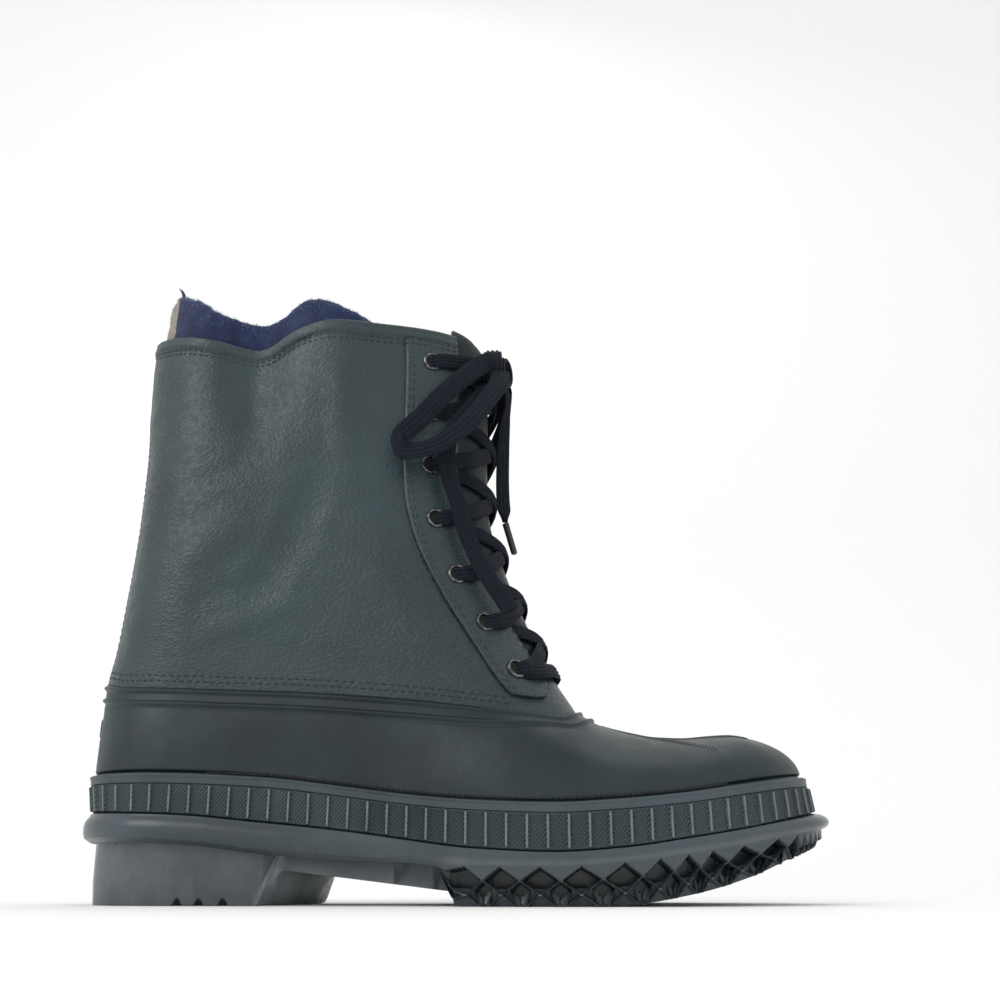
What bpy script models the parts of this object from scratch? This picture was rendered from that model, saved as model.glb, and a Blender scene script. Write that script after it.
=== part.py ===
"""Pac boot for the right foot: rubber shell and sole, leather shaft, felt liner and laces.

Metres, +Z up, toe towards +X, outer (lateral) side towards -Y. The sole stands on z = 0.
Lengths along the boot are measured from the back of the heel bead.
"""
import math
from bisect import bisect_right

import bmesh
import bpy
from mathutils import Vector

MM = 0.001

# Driving dimensions
LENGTH = 0.325
BALL_WIDTH = 0.116
SIDE_HEIGHT = 0.052
SHELL_HEIGHT = 0.093
COLLAR_HEIGHT = 0.266
COLLAR_LENGTH = 0.168
COLLAR_WIDTH = 0.075
LINER_RISE = 0.029
HEEL_SET = 0.0026
TOE_SET = 0.0105
GAP = 0.0004
RAND_GAP = 0.0007

# Walls
SHELL_WALL = 0.0024
RAND_WALL = 0.0018
LEATHER = 0.0019
FELT = 0.0060
TONGUE_WALL = 0.0035
EYESTAY_WALL = 0.0016
INSOLE_WALL = 0.0050

# Trim
BEAD_RISE = 0.0012
BEAD_WIDTH = 0.0034
BEAD_STEP = 0.0056
RIB_PITCH = 0.0096
RIB_WIDTH = 0.0018
RIB_RISE = 0.0011
RAND_STRIP = 0.0045
HEEL_BEAD_RISE = 0.0026
TUCK = 0.0100
EYELET_RADIUS = 0.0047
EYELET_HOLE = 0.0024
EYELET_RISE = 0.0016
EYELETS = 7
EYESTAY_WIDTH = 0.0265
LACE_WIDTH = 0.0080
LACE_WALL = 0.0020

# Station counts
SHELL_STATIONS = 25
SOLE_STATIONS = 25


def table(header, rows):
    """Named columns from a header line and a row for each section."""
    names = header.split()
    return {name: [row[i] for row in rows] for i, name in enumerate(names)}


# Sections along the foot: share of LENGTH, then shares of BALL_WIDTH, then shares of SIDE_HEIGHT
FORM = table(
    "share swing lateral medial rand_top sole_top lean wall_foot ground",
    [
        (0.00, 0.000, 0.345, 0.345, 1.00, 0.735, -0.045, 0.480, 0.000),
        (0.08, 0.000, 0.350, 0.350, 0.99, 0.710, -0.040, 0.470, 0.000),
        (0.16, 0.000, 0.358, 0.350, 0.98, 0.690, -0.030, 0.450, 0.000),
        (0.26, 0.000, 0.355, 0.322, 0.95, 0.630, -0.010, 0.380, 0.000),
        (0.36, 0.000, 0.362, 0.290, 0.88, 0.550, 0.000, 0.335, 0.000),
        (0.45, 0.000, 0.395, 0.290, 0.81, 0.470, 0.000, 0.310, 0.000),
        (0.52, 0.000, 0.440, 0.325, 0.77, 0.415, 0.000, 0.255, 0.000),
        (0.62, 0.010, 0.492, 0.400, 0.745, 0.385, 0.000, 0.250, 0.000),
        (0.70, 0.020, 0.500, 0.452, 0.77, 0.415, 0.000, 0.280, 0.008),
        (0.78, 0.032, 0.497, 0.466, 0.82, 0.485, 0.006, 0.340, 0.078),
        (0.86, 0.045, 0.490, 0.462, 0.90, 0.570, 0.015, 0.420, 0.205),
        (0.94, 0.060, 0.480, 0.452, 0.985, 0.680, 0.035, 0.530, 0.400),
        (1.00, 0.070, 0.470, 0.445, 1.04, 0.780, 0.050, 0.610, 0.560),
    ],
)

# Where each station of the outline meets the shell's top edge, both as shares of their own length
FAN = table(
    "share loop",
    [
        (0.00, 0.00),
        (0.30, 0.45),
        (0.50, 0.745),
        (0.60, 0.86),
        (0.70, 0.925),
        (0.85, 0.975),
        (1.00, 1.00),
    ],
)

# Shell's top edge: share of its length, half widths as shares of COLLAR_WIDTH, height of SHELL_HEIGHT
LOOP = table(
    "share lateral medial height",
    [
        (0.00, 0.46, 0.46, 1.000),
        (0.08, 0.47, 0.47, 0.950),
        (0.25, 0.485, 0.48, 0.930),
        (0.44, 0.495, 0.485, 0.915),
        (0.64, 0.530, 0.515, 0.880),
        (0.83, 0.560, 0.545, 0.828),
        (0.93, 0.570, 0.555, 0.805),
        (1.00, 0.570, 0.555, 0.866),
    ],
)

# Ridge of the vamp: share of LENGTH against height as a share of SHELL_HEIGHT
RIDGE = table(
    "share height",
    [
        (0.56, 1.02),
        (0.62, 0.955),
        (0.663, 0.866),
        (0.694, 0.806),
        (0.727, 0.770),
        (0.763, 0.748),
        (0.800, 0.742),
        (0.840, 0.755),
        (0.874, 0.766),
        (1.000, 0.770),
    ],
)
TOE_POLE = 0.86

# Side view of the leg: share of COLLAR_HEIGHT against back and front, as shares of COLLAR_LENGTH
LEG = table(
    "share back front",
    [
        (0.25, 0.006, 1.325),
        (0.303, 0.008, 1.283),
        (0.350, 0.011, 1.235),
        (0.400, 0.023, 1.195),
        (0.490, 0.035, 1.130),
        (0.583, 0.044, 1.076),
        (0.660, 0.047, 1.045),
        (0.740, 0.047, 1.038),
        (0.860, 0.038, 1.040),
        (0.960, 0.032, 1.036),
        (1.040, 0.038, 1.020),
    ],
)

# Leg from the shell's edge (0) to the collar (1): half widths of COLLAR_WIDTH, end lengths
RING = table(
    "share lateral medial back_end front_end",
    [
        (0.00, 0.52, 0.52, 0.19, 0.20),
        (0.25, 0.505, 0.49, 0.22, 0.34),
        (0.50, 0.500, 0.48, 0.27, 0.42),
        (0.75, 0.500, 0.49, 0.31, 0.44),
        (1.00, 0.495, 0.495, 0.34, 0.44),
    ],
)

# Collar line and liner's top round the opening: shares of COLLAR_HEIGHT and LINER_RISE
COLLAR = table(
    "share lateral medial felt_lateral felt_medial",
    [
        (0.00, 1.000, 1.000, 0.55, 0.55),
        (0.06, 0.996, 0.998, 0.95, 0.80),
        (0.14, 0.985, 0.992, 0.52, 0.55),
        (0.24, 0.962, 0.988, 0.50, 0.42),
        (0.34, 0.950, 0.986, 0.58, 0.36),
        (0.46, 0.978, 0.986, 0.62, 0.34),
        (0.56, 0.990, 0.984, 0.44, 0.28),
        (0.70, 0.988, 0.986, 0.08, 0.10),
        (0.85, 0.988, 0.986, -0.25, -0.20),
        (1.00, 0.984, 0.984, -0.50, -0.50),
    ],
)


def read(source, column, place):
    """Smooth value of a table's column at a place along its first column."""
    xs = source["share"]
    ys = source[column]
    place = min(max(place, xs[0]), xs[-1])
    i = min(max(bisect_right(xs, place) - 1, 0), len(xs) - 2)
    steps = [b - a for a, b in zip(xs, xs[1:])]
    rises = [(b - a) / h for a, b, h in zip(ys, ys[1:], steps)]

    def slope(k):
        if k == 0:
            return rises[0]
        if k == len(xs) - 1:
            return rises[-1]
        if rises[k - 1] * rises[k] <= 0:
            return 0.0
        before = 2 * steps[k] + steps[k - 1]
        after = steps[k] + 2 * steps[k - 1]
        return (before + after) / (before / rises[k - 1] + after / rises[k])

    t = (place - xs[i]) / steps[i]
    ease = t * t * (3 - 2 * t)
    hill = t * (1 - t) ** 2 * slope(i) - t * t * (1 - t) * slope(i + 1)
    return ys[i] + (ys[i + 1] - ys[i]) * ease + steps[i] * hill


def step(value, low, high):
    """Smooth step from 0 at low to 1 at high."""
    t = min(max((value - low) / (high - low), 0.0), 1.0)
    return t * t * (3 - 2 * t)


def lerp(a, b, t):
    return a + (b - a) * t


def arch(t, power=2.2):
    """Quarter of a rounded outline: 1 at t = 0, falling to 0 at t = 1."""
    t = min(max(t, 0.0), 1.0)
    return (1 - t ** power) ** (1 / power)


def station(q):
    """Share from heel to toe and the side, -1 lateral or 1 medial, of a place q round the boot."""
    q = q % 1.0
    if q <= 0.5:
        return 2 * q, -1
    return 2 * (1 - q), 1


def side_name(side):
    return "lateral" if side < 0 else "medial"


# The last: outline, top edge, vamp and leg as functions of the place q round the boot

HEEL_SHARE = HEEL_SET / LENGTH
TOE_SHARE = 1 - TOE_SET / LENGTH
HEEL_END = 0.135
TOE_END = 0.27


def half_width(share, side):
    """Half width of the upper's foot at a share of the length."""
    local = min(max((share - HEEL_SHARE) / (TOE_SHARE - HEEL_SHARE), 0.0), 1.0)
    ends = arch(1 - min(local / HEEL_END, 1)) * arch(max(local - 1 + TOE_END, 0) / TOE_END)
    return read(FORM, side_name(side), share) * BALL_WIDTH * ends


def foot_point(q):
    """Outline of the upper where the rand's top meets it."""
    along, side = station(q)
    local = (1 - math.cos(math.pi * along)) / 2
    share = lerp(HEEL_SHARE, TOE_SHARE, local)
    y = read(FORM, "swing", share) * BALL_WIDTH + side * half_width(share, side)
    return Vector((share * LENGTH, y, read(FORM, "rand_top", share) * SIDE_HEIGHT))


def leg_x(share, z):
    back = read(LEG, "back", z / COLLAR_HEIGHT) * COLLAR_LENGTH
    front = read(LEG, "front", z / COLLAR_HEIGHT) * COLLAR_LENGTH
    return lerp(back, front, share)


def ring_y(share, side, level):
    """Side distance of the leg's ring at a share from back to front and a level above the shell."""
    name = side_name(side)
    low = read(LOOP, name, share) * COLLAR_WIDTH
    high = read(RING, name, level) * COLLAR_WIDTH
    half = lerp(low, high, step(level, 0.0, 0.35))
    back = arch(1 - min(share / read(RING, "back_end", level), 1), 2.1)
    front = read(RING, "front_end", level)
    half *= back * arch(max(share - 1 + front, 0) / front, 2.1)
    return side * half


def leg_point(share, side, level):
    """Point of the leg's skin: level 0 is the shell's top edge and 1 is the collar."""
    low = read(LOOP, "height", share) * SHELL_HEIGHT
    high = read(COLLAR, side_name(side), share) * COLLAR_HEIGHT
    z = lerp(low, high, level)
    y = ring_y(share, side, level)
    if side < 0:
        y += dent(share, level)
    return Vector((leg_x(share, z), y, z))


def dent(share, level):
    """Slack of the lateral wall below the collar: a trough with a ridge in front of it."""
    high = step(level, 0.55, 1.0)
    trough = math.exp(-((share - 0.34) / 0.10) ** 2)
    ridge = math.exp(-((share - 0.58) / 0.10) ** 2)
    return COLLAR_WIDTH * high * (0.13 * trough - 0.03 * ridge)


def loop_share(q):
    along, side = station(q)
    local = (1 - math.cos(math.pi * along)) / 2
    return read(FAN, "loop", local), side


def vamp_height(x, y):
    """Height of the shell over the forefoot."""
    share = x / LENGTH
    side = -1 if y < read(FORM, "swing", share) * BALL_WIDTH else 1
    foot = read(FORM, "rand_top", share) * SIDE_HEIGHT
    crest = read(RIDGE, "height", share) * SHELL_HEIGHT
    crest = lerp(foot, crest, arch((share - TOE_POLE) / (TOE_SHARE - TOE_POLE), 2.0))
    half = max(half_width(share, side), MM)
    across = abs(y - read(FORM, "swing", share) * BALL_WIDTH) / half
    return lerp(foot, crest, arch(across, 2.2))


SIDE_LEAN = math.radians(42)


def shell_point(q, t):
    """Skin of the rubber shell from its top edge (t = 0) down to the rand (t = 1)."""
    along, _ = station(q)
    share, side = loop_share(q)
    top = leg_point(share, side, 0.0)
    foot = foot_point(q)
    front = step(along, 0.42, 0.64)
    reach = lerp(SIDE_LEAN, math.pi / 2, front)
    turn = (1 - t) * reach
    inward = (1 - math.cos(turn)) / (1 - math.cos(reach))
    x = lerp(foot.x, top.x, inward)
    y = lerp(foot.y, top.y, inward)
    side_z = lerp(foot.z, top.z, math.sin(turn) / math.sin(reach))
    vamp_z = vamp_height(x, y) + (top.z - vamp_height(top.x, top.y)) * inward
    return Vector((x, y, lerp(side_z, vamp_z, front)))


def normal(function, a, b, small=0.002):
    """Outward unit normal of a skin function at its two places."""
    across = function(a + small, b) - function(a - small, b)
    low = max(b - small, 0.0)
    high = min(b + small, 1.0)
    up = function(a, low) - function(a, high)
    return across.cross(up).normalized()


def shell_skin(q, t, out):
    """Shell point moved out along the skin's normal."""
    return shell_point(q, t) + normal(shell_point, q, t) * out


def foot_normal(q):
    ahead = foot_point(q + 0.002) - foot_point(q - 0.002)
    return Vector((ahead.y, -ahead.x, 0)).normalized()


def skirt_point(q, drop, out):
    """Side of the foot below the rand's top: drop 0 is the top line and 1 the sole."""
    point = foot_point(q)
    share = point.x / LENGTH
    low = read(FORM, "sole_top", share) * SIDE_HEIGHT
    lean = read(FORM, "lean", share) * SIDE_HEIGHT
    point = point + foot_normal(q) * (out + lean * drop)
    point.z = lerp(point.z, low, drop)
    return point


# Leg stations turn by angle, so that the throat's edge keeps its place at each level

THROAT_SHELL = 0.962
THROAT_COLLAR = 0.912


def share_angle(share):
    return math.acos(1 - 2 * share)


def leg_share(angle, level):
    """Share from back to front on a ring, for an angle taken at the shell's top edge."""
    knee = share_angle(THROAT_SHELL)
    high = share_angle(THROAT_COLLAR)
    if angle <= knee:
        upper = angle * high / knee
    else:
        upper = lerp(high, math.pi, (angle - knee) / (math.pi - knee))
    angle = lerp(angle, upper, step(level, 0.0, 0.45))
    return (1 - math.cos(angle)) / 2


def leg_skin(turn, level, out):
    """Leg point moved out along its normal; turn is the signed angle from the back, + medial."""

    def base(a, b):
        a = (a + math.pi) % (2 * math.pi) - math.pi
        side = 1 if a > 0 else -1
        return leg_point(leg_share(abs(a), b), side, b)

    small = 0.01
    across = base(turn + small, level) - base(turn - small, level)
    up = base(turn, level + small) - base(turn, level - small)
    outward = up.cross(across).normalized()
    return base(turn, level) + outward * out


# Mesh helpers


def new_material(name, colour, roughness, metallic=0.0):
    material = bpy.data.materials.new(name)
    material.use_nodes = True
    shader = material.node_tree.nodes["Principled BSDF"]
    shader.inputs["Base Color"].default_value = (*colour, 1.0)
    shader.inputs["Roughness"].default_value = roughness
    shader.inputs["Metallic"].default_value = metallic
    return material


def new_object(name, points, faces, material, smooth=35):
    mesh = bpy.data.meshes.new(name)
    centre = LENGTH / 2
    mesh.from_pydata([(p[0] - centre, p[1], p[2]) for p in points], [], faces)
    mesh.update()
    mesh.shade_smooth()
    mesh.set_sharp_from_angle(angle=math.radians(smooth))
    mesh.materials.append(material)
    item = bpy.data.objects.new(name, mesh)
    bpy.context.scene.collection.objects.link(item)
    return item


def ring_wall(name, outer, inner, material, smooth=35):
    """Closed wall from rows of closed rings; outer and inner may differ in rows."""
    count = len(outer[0])
    points = [p for row in outer for p in row]
    base = len(points)
    points += [p for row in inner for p in row]
    faces = []
    for j in range(len(outer) - 1):
        for i in range(count):
            k = (i + 1) % count
            faces.append((j * count + i, (j + 1) * count + i, (j + 1) * count + k, j * count + k))
    for j in range(len(inner) - 1):
        for i in range(count):
            k = (i + 1) % count
            low = base + j * count
            faces.append((low + k, low + count + k, low + count + i, low + i))
    last_out = (len(outer) - 1) * count
    last_in = base + (len(inner) - 1) * count
    for i in range(count):
        k = (i + 1) % count
        faces.append((i, k, base + k, base + i))
        faces.append((last_out + k, last_out + i, last_in + i, last_in + k))
    return new_object(name, points, faces, material, smooth)


def patch_wall(name, outer, inner, kept, closed, material, smooth=35):
    """Closed wall from two grids of the same size, with the cells that kept(row, column) keeps."""
    rows = len(outer)
    count = len(outer[0])
    columns = count if closed else count - 1
    base = rows * count
    points = [p for row in outer for p in row] + [p for row in inner for p in row]

    def is_kept(j, i):
        if not 0 <= j < rows - 1:
            return False
        if not closed and not 0 <= i < columns:
            return False
        return kept(j, i % count)

    faces = []
    for j in range(rows - 1):
        for i in range(columns):
            if not is_kept(j, i):
                continue
            a = j * count + i
            b = j * count + (i + 1) % count
            c = b + count
            d = a + count
            faces.append((a, d, c, b))
            faces.append((base + b, base + c, base + d, base + a))
            if not is_kept(j - 1, i):
                faces.append((a, b, base + b, base + a))
            if not is_kept(j + 1, i):
                faces.append((c, d, base + d, base + c))
            if not is_kept(j, i - 1):
                faces.append((d, a, base + a, base + d))
            if not is_kept(j, i + 1):
                faces.append((b, c, base + c, base + b))
    used = sorted({v for face in faces for v in face})
    index = {old: new for new, old in enumerate(used)}
    points = [points[v] for v in used]
    faces = [tuple(index[v] for v in face) for face in faces]
    return new_object(name, points, faces, material, smooth)


def outward(points, faces):
    """Faces of a closed body turned so that they point out."""
    volume = 0.0
    for face in faces:
        a = Vector(points[face[0]])
        for b, c in zip(face[1:], face[2:]):
            volume += a.dot(Vector(points[b]).cross(Vector(points[c])))
    return faces if volume > 0 else [tuple(reversed(face)) for face in faces]


# Upper: the rubber shell


def shell_stations():
    return [i / (2 * SHELL_STATIONS) for i in range(2 * SHELL_STATIONS)]


def shell_rows(q, places, fractions):
    """Values of t at distances below the top edge, then at shares of what is left."""
    fine = 48
    line = [shell_point(q, i / fine) for i in range(fine + 1)]
    run = [0.0]
    for a, b in zip(line, line[1:]):
        run.append(run[-1] + (b - a).length)

    def at(distance):
        i = min(max(bisect_right(run, distance) - 1, 0), fine - 1)
        return (i + (distance - run[i]) / (run[i + 1] - run[i])) / fine

    start = places[-1]
    return [at(d) for d in places] + [at(lerp(start, run[-1], f)) for f in fractions]


TOE_RIDGES = (0.385, 0.445, 0.555, 0.615)
HEEL_PATCH = 0.035


def build_upper(material):
    qs = shell_stations()
    places = [0.0, BEAD_WIDTH * 0.4, BEAD_WIDTH, BEAD_STEP, BEAD_STEP + BEAD_WIDTH / 2,
              BEAD_STEP + BEAD_WIDTH]
    rises = [0.3, 1.0, 0.0, 0.0, 1.0, 0.0]
    fractions = [0.16, 0.34, 0.54, 0.76, 1.0]
    columns = []
    for q in qs:
        around = min(q, 1 - q)
        ridge = min(abs(q - place) for place in TOE_RIDGES) < 0.25 / SHELL_STATIONS
        column = []
        for j, t in enumerate(shell_rows(q, places, fractions)):
            out = rises[j] * BEAD_RISE if j < len(rises) else 0.0
            if ridge and len(rises) < j < len(places) + len(fractions) - 1:
                out += BEAD_RISE * 0.8
            if around < HEEL_PATCH and j in (len(rises), len(rises) + 1, len(rises) + 2):
                out += BEAD_RISE * 0.7
            column.append(shell_skin(q, t, out))
        column.append(skirt_point(q, 1.0, 0.0) + Vector((0, 0, GAP)))
        columns.append(column)
    outer = [list(row) for row in zip(*columns)]
    columns = []
    for q in qs:
        column = [shell_skin(q, t, -SHELL_WALL) for t in shell_rows(q, [0.0], [0.2, 0.42, 0.66, 1.0])]
        column.append(skirt_point(q, 1.0, -SHELL_WALL) + Vector((0, 0, GAP)))
        columns.append(column)
    inner = [list(row) for row in zip(*columns)]
    return ring_wall("upper", outer, inner, material, 40)


# Rand: ribbed strip round the foot

RAND_FOOT = 0.97


def build_rand(material):
    """Outer face with a rib at each pitch, coarse inner face behind it."""
    fine = 720
    line = [skirt_point(i / fine, 0.5, RAND_GAP + RAND_WALL) for i in range(fine + 1)]
    run = [0.0]
    for a, b in zip(line, line[1:]):
        run.append(run[-1] + (b - a).length)
    ribs = 2 * round(run[-1] / RIB_PITCH / 2)

    def place(distance):
        i = min(max(bisect_right(run, distance) - 1, 0), fine - 1)
        return (i + (distance - run[i]) / (run[i + 1] - run[i])) / fine

    pitch = run[-1] / ribs
    points = []
    for i in range(ribs):
        middle = (i + 0.5) * pitch
        for shift, rise in ((-0.5, 0.0), (0.0, RIB_RISE), (0.5, 0.0)):
            q = place(middle + shift * RIB_WIDTH)
            strip = RAND_STRIP / (skirt_point(q, 0.0, 0.0).z - skirt_point(q, 1.0, 0.0).z)
            points.append(skirt_point(q, RAND_FOOT, RAND_GAP + RAND_WALL + rise))
            points.append(skirt_point(q, strip, RAND_GAP + RAND_WALL + rise))
            points.append(skirt_point(q, 0.0, RAND_GAP + RAND_WALL))
        q = place(middle)
        points.append(skirt_point(q, 0.0, RAND_GAP))
        points.append(skirt_point(q, RAND_FOOT, RAND_GAP))
    size = 11
    faces = []
    for i in range(ribs):
        a = i * size
        b = ((i + 1) % ribs) * size
        for low, high in ((a, a + 3), (a + 3, a + 6), (a + 6, b)):
            faces.append((low, high, high + 1, low + 1))
            faces.append((low + 1, high + 1, high + 2, low + 2))
        faces.append((a + 5, a + 8, b + 2, b + 5, b + 9, a + 9))
        faces.append((a + 10, b + 10, b + 3, b, a + 6, a + 3))
        faces.append((a + 9, b + 9, b + 10, a + 10))
    return new_object("rand", points, faces, material, 30)


# Sole: plate with side bead, heel block, shank panel and lugs

LIP_RISE = 0.0062
SOLE_LEDGE = 0.0022


def sole_point(q, drop, out):
    """Side of the sole: drop 0 is its top rim and 1 the foot of the side wall."""
    point = foot_point(q)
    share = point.x / LENGTH
    top = read(FORM, "sole_top", share) * SIDE_HEIGHT
    low = read(FORM, "wall_foot", share) * SIDE_HEIGHT
    lean = read(FORM, "lean", share) * SIDE_HEIGHT
    toe = LIP_RISE * step(share, 0.86, 0.97) * math.sin(math.pi * min(drop * 1.15, 1.0)) ** 0.5
    point = point + foot_normal(q) * (out + lean + toe)
    point.z = lerp(top, low, drop)
    return point


def prism(name, corners, low, high, taper):
    """Closed prism over plan corners; low and high give the heights at a corner."""
    centre_x = sum(c[0] for c in corners) / len(corners)
    centre_y = sum(c[1] for c in corners) / len(corners)
    points = []
    for x, y in corners:
        points.append((lerp(centre_x, x, taper), lerp(centre_y, y, taper), low(x)))
    for x, y in corners:
        points.append((x, y, high(x)))
    count = len(corners)
    faces = [tuple(range(count - 1, -1, -1)), tuple(range(count, 2 * count))]
    for i in range(count):
        k = (i + 1) % count
        faces.append((i, k, count + k, count + i))
    return name, points, outward(points, faces)


def ground(x):
    return read(FORM, "ground", x / LENGTH) * SIDE_HEIGHT


def wall_foot(x):
    return read(FORM, "wall_foot", x / LENGTH) * SIDE_HEIGHT


LUG_FIRST = 0.505
LUG_LAST = 0.885
LUG_COUNT = 8
LUG_LENGTH = 0.030
LUG_HALF = 0.0072
LUG_TAPER = 0.84
CENTRE_LUGS = 6
TOE_LUGS = 5


def edge_q(share, side):
    """Place round the boot where the sole's side has a share of the length."""
    local = (share - HEEL_SHARE) / (TOE_SHARE - HEEL_SHARE)
    q = math.acos(1 - 2 * local) / (2 * math.pi)
    return q if side < 0 else 1 - q


def edge_lug(q, length, half):
    """Lug with a pointed outer end, square to the sole's side at place q."""
    rim = sole_point(q, 1.0, SOLE_LEDGE)
    inward = -foot_normal(q)
    along = Vector((-inward.y, inward.x, 0))
    outline = ((0.0003, 0.0), (half, half), (length - half, half * 0.9), (length, 0.0),
               (length - half, -half * 0.9), (half, -half))
    return [tuple((rim + inward * a + along * b)[:2]) for a, b in outline]


def lug_prisms():
    result = []
    for side in (-1, 1):
        for i in range(LUG_COUNT):
            share = lerp(LUG_FIRST, LUG_LAST, i / (LUG_COUNT - 1))
            corners = edge_lug(edge_q(share, side), LUG_LENGTH, LUG_HALF)
            result.append(prism("edge", corners, ground, lambda x: wall_foot(x) + 1.5 * MM, LUG_TAPER))
    for i in range(TOE_LUGS):
        q = lerp(0.425, 0.575, i / (TOE_LUGS - 1))
        corners = edge_lug(q, LUG_LENGTH * 0.5, LUG_HALF * 0.8)
        result.append(prism("toe", corners, ground, lambda x: wall_foot(x) + 1.5 * MM, LUG_TAPER))
    for i in range(CENTRE_LUGS):
        share = lerp(0.535, 0.835, i / (CENTRE_LUGS - 1))
        x = share * LENGTH
        y = read(FORM, "swing", share) * BALL_WIDTH
        y += (read(FORM, "medial", share) - read(FORM, "lateral", share)) * BALL_WIDTH / 2
        long = LUG_HALF * 1.25
        wide = LUG_LENGTH * 0.42
        corners = [(x - long, y), (x, y - wide), (x + long, y), (x, y + wide)]
        result.append(prism("middle", corners, ground, lambda x: wall_foot(x) + 1.5 * MM, LUG_TAPER))
    return result


HEEL_BREAST = 0.262
HEEL_SKEW = 0.055
HEEL_INSET = 0.0062
SHANK_START = 0.27
SHANK_END = 0.50
SHANK_HALF = 0.20


def heel_block():
    """Block under the heel with a skewed, sloping breast."""
    stations = 9
    low = []
    for i in range(-stations, stations + 1):
        around = (1 - math.cos(math.pi * abs(i) / stations)) / 2
        side = -1 if i < 0 else 1
        share = lerp(HEEL_SHARE, HEEL_BREAST, around)
        skew = HEEL_SKEW * (0.5 + side * 0.5) * step(abs(i) / stations, 0.6, 1.0)
        q = edge_q(share + skew, side)
        low.append(sole_point(q, 1.0, SOLE_LEDGE) - foot_normal(q) * HEEL_INSET)
    points = [(p.x, p.y, 0.0) for p in low]
    slope = 0.008
    for i, p in enumerate(low):
        forward = slope if i in (0, len(low) - 1) else 0.0
        points.append((p.x + forward, p.y, wall_foot(p.x) + 2 * MM))
    count = len(low)
    faces = [tuple(range(count)), tuple(range(2 * count - 1, count - 1, -1))]
    for i in range(count):
        k = (i + 1) % count
        faces.append((k, i, count + i, count + k))
    return "heel", points, outward(points, faces)


def shank_panel():
    """Raised panel under the arch, sloping from the heel's breast to the first lugs."""
    start = SHANK_START * LENGTH
    end = SHANK_END * LENGTH
    wide = SHANK_HALF * BALL_WIDTH
    middle = -0.02 * BALL_WIDTH
    corners = [(start, middle - wide), (end, middle - wide * 1.1), (end, middle + wide),
               (start, middle + wide)]

    def low(x):
        return lerp(0.27, 0.10, (x - start) / (end - start)) * SIDE_HEIGHT

    return prism("shank", corners, low, lambda x: wall_foot(x) + 1.5 * MM, 0.94)


def helper(name, points, faces, collection):
    mesh = bpy.data.meshes.new(name)
    mesh.from_pydata([(p[0] - LENGTH / 2, p[1], p[2]) for p in points], [], faces)
    item = bpy.data.objects.new(name, mesh)
    item.hide_render = True
    item.display_type = "WIRE"
    collection.objects.link(item)
    return item


def build_outsole(material):
    qs = [i / (2 * SOLE_STATIONS) for i in range(2 * SOLE_STATIONS)]
    rows = []
    profile = ((0.0, 0.0), (0.10, 0.0), (0.26, 0.75), (0.55, 1.0), (0.84, 0.75), (1.0, 0.0))
    for drop, rise in profile:
        row = []
        for q in qs:
            share = foot_point(q).x / LENGTH
            fade = HEEL_BEAD_RISE * (1 - step(share, 0.25, 0.47))
            row.append(sole_point(q, drop, SOLE_LEDGE + fade * rise))
        rows.append(row)
    last = []
    for q in qs:
        point = sole_point(q, 1.0, SOLE_LEDGE - 2.5 * MM)
        point.z += 0.3 * MM
        last.append(point)
    rows.append(last)
    count = len(qs)
    points = [p for row in rows for p in row]
    faces = []
    for j in range(len(rows) - 1):
        for i in range(count):
            k = (i + 1) % count
            faces.append((j * count + i, (j + 1) * count + i, (j + 1) * count + k, j * count + k))
    faces += cap_faces(count, 0, True) + cap_faces(count, (len(rows) - 1) * count, False)
    item = new_object("outsole", points, faces, material, 30)
    parts = bpy.data.collections.new("sole blocks")
    bpy.context.scene.collection.children.link(parts)
    for name, spots, sides in [heel_block(), shank_panel()] + lug_prisms():
        helper(name, spots, sides, parts)
    join = item.modifiers.new("blocks", "BOOLEAN")
    join.operation = "UNION"
    join.operand_type = "COLLECTION"
    join.collection = parts
    return item


# Leg: leather shaft, eyestays, tongue and felt liner on the same skin

LEG_RISE = COLLAR_HEIGHT - SHELL_HEIGHT
LEG_STATIONS = 12
FRONT_STATIONS = 4
LEATHER_OUT = -0.0006
LEATHER_IN = LEATHER_OUT - LEATHER
TUCK_OUT = -SHELL_WALL - 0.0009
LINER_FOOT = TUCK_OUT - LEATHER - 4 * GAP
COLLAR_BEAD = 0.0055
COLLAR_RISE = 0.0005
THROAT_LEVEL = 0.10
LEG_LEVELS = (0.86, 0.70, 0.54, 0.39, 0.26, 0.17, THROAT_LEVEL)
# Step inwards just above the shell's edge: levels of the outer and inner face, depth
SHAFT_FOOT = ((0.0055, 0.020, LEATHER_OUT), (0.0050, 0.010, TUCK_OUT))


def leg_turns():
    """Signed angles of the leg's columns, from the medial front round the back to the front."""
    knee = share_angle(THROAT_SHELL)
    angles = [knee * i / LEG_STATIONS for i in range(LEG_STATIONS + 1)]
    angles += [lerp(knee, math.pi, i / FRONT_STATIONS) for i in range(1, FRONT_STATIONS)]
    turns = [a for a in reversed(angles)] + [-a for a in angles[1:]]
    return [math.pi] + turns


def shell_q(turn):
    """Place round the shell whose top edge lies at a turn of the leg."""
    turn = (turn + math.pi) % (2 * math.pi) - math.pi
    share = (1 - math.cos(turn)) / 2
    low, high = 0.0, 1.0
    for _ in range(40):
        middle = (low + high) / 2
        if read(FAN, "loop", middle) < share:
            low = middle
        else:
            high = middle
    q = math.acos(1 - 2 * low) / (2 * math.pi)
    return q if turn <= 0 else 1 - q


def leg_height(turn):
    """Height from the shell's edge to the collar at a turn."""
    side = 1 if turn > 0 else -1
    share = leg_share(abs(turn), 0.0)
    high = leg_share(abs(turn), 1.0)
    return leg_point(high, side, 1.0).z - leg_point(share, side, 0.0).z


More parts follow.
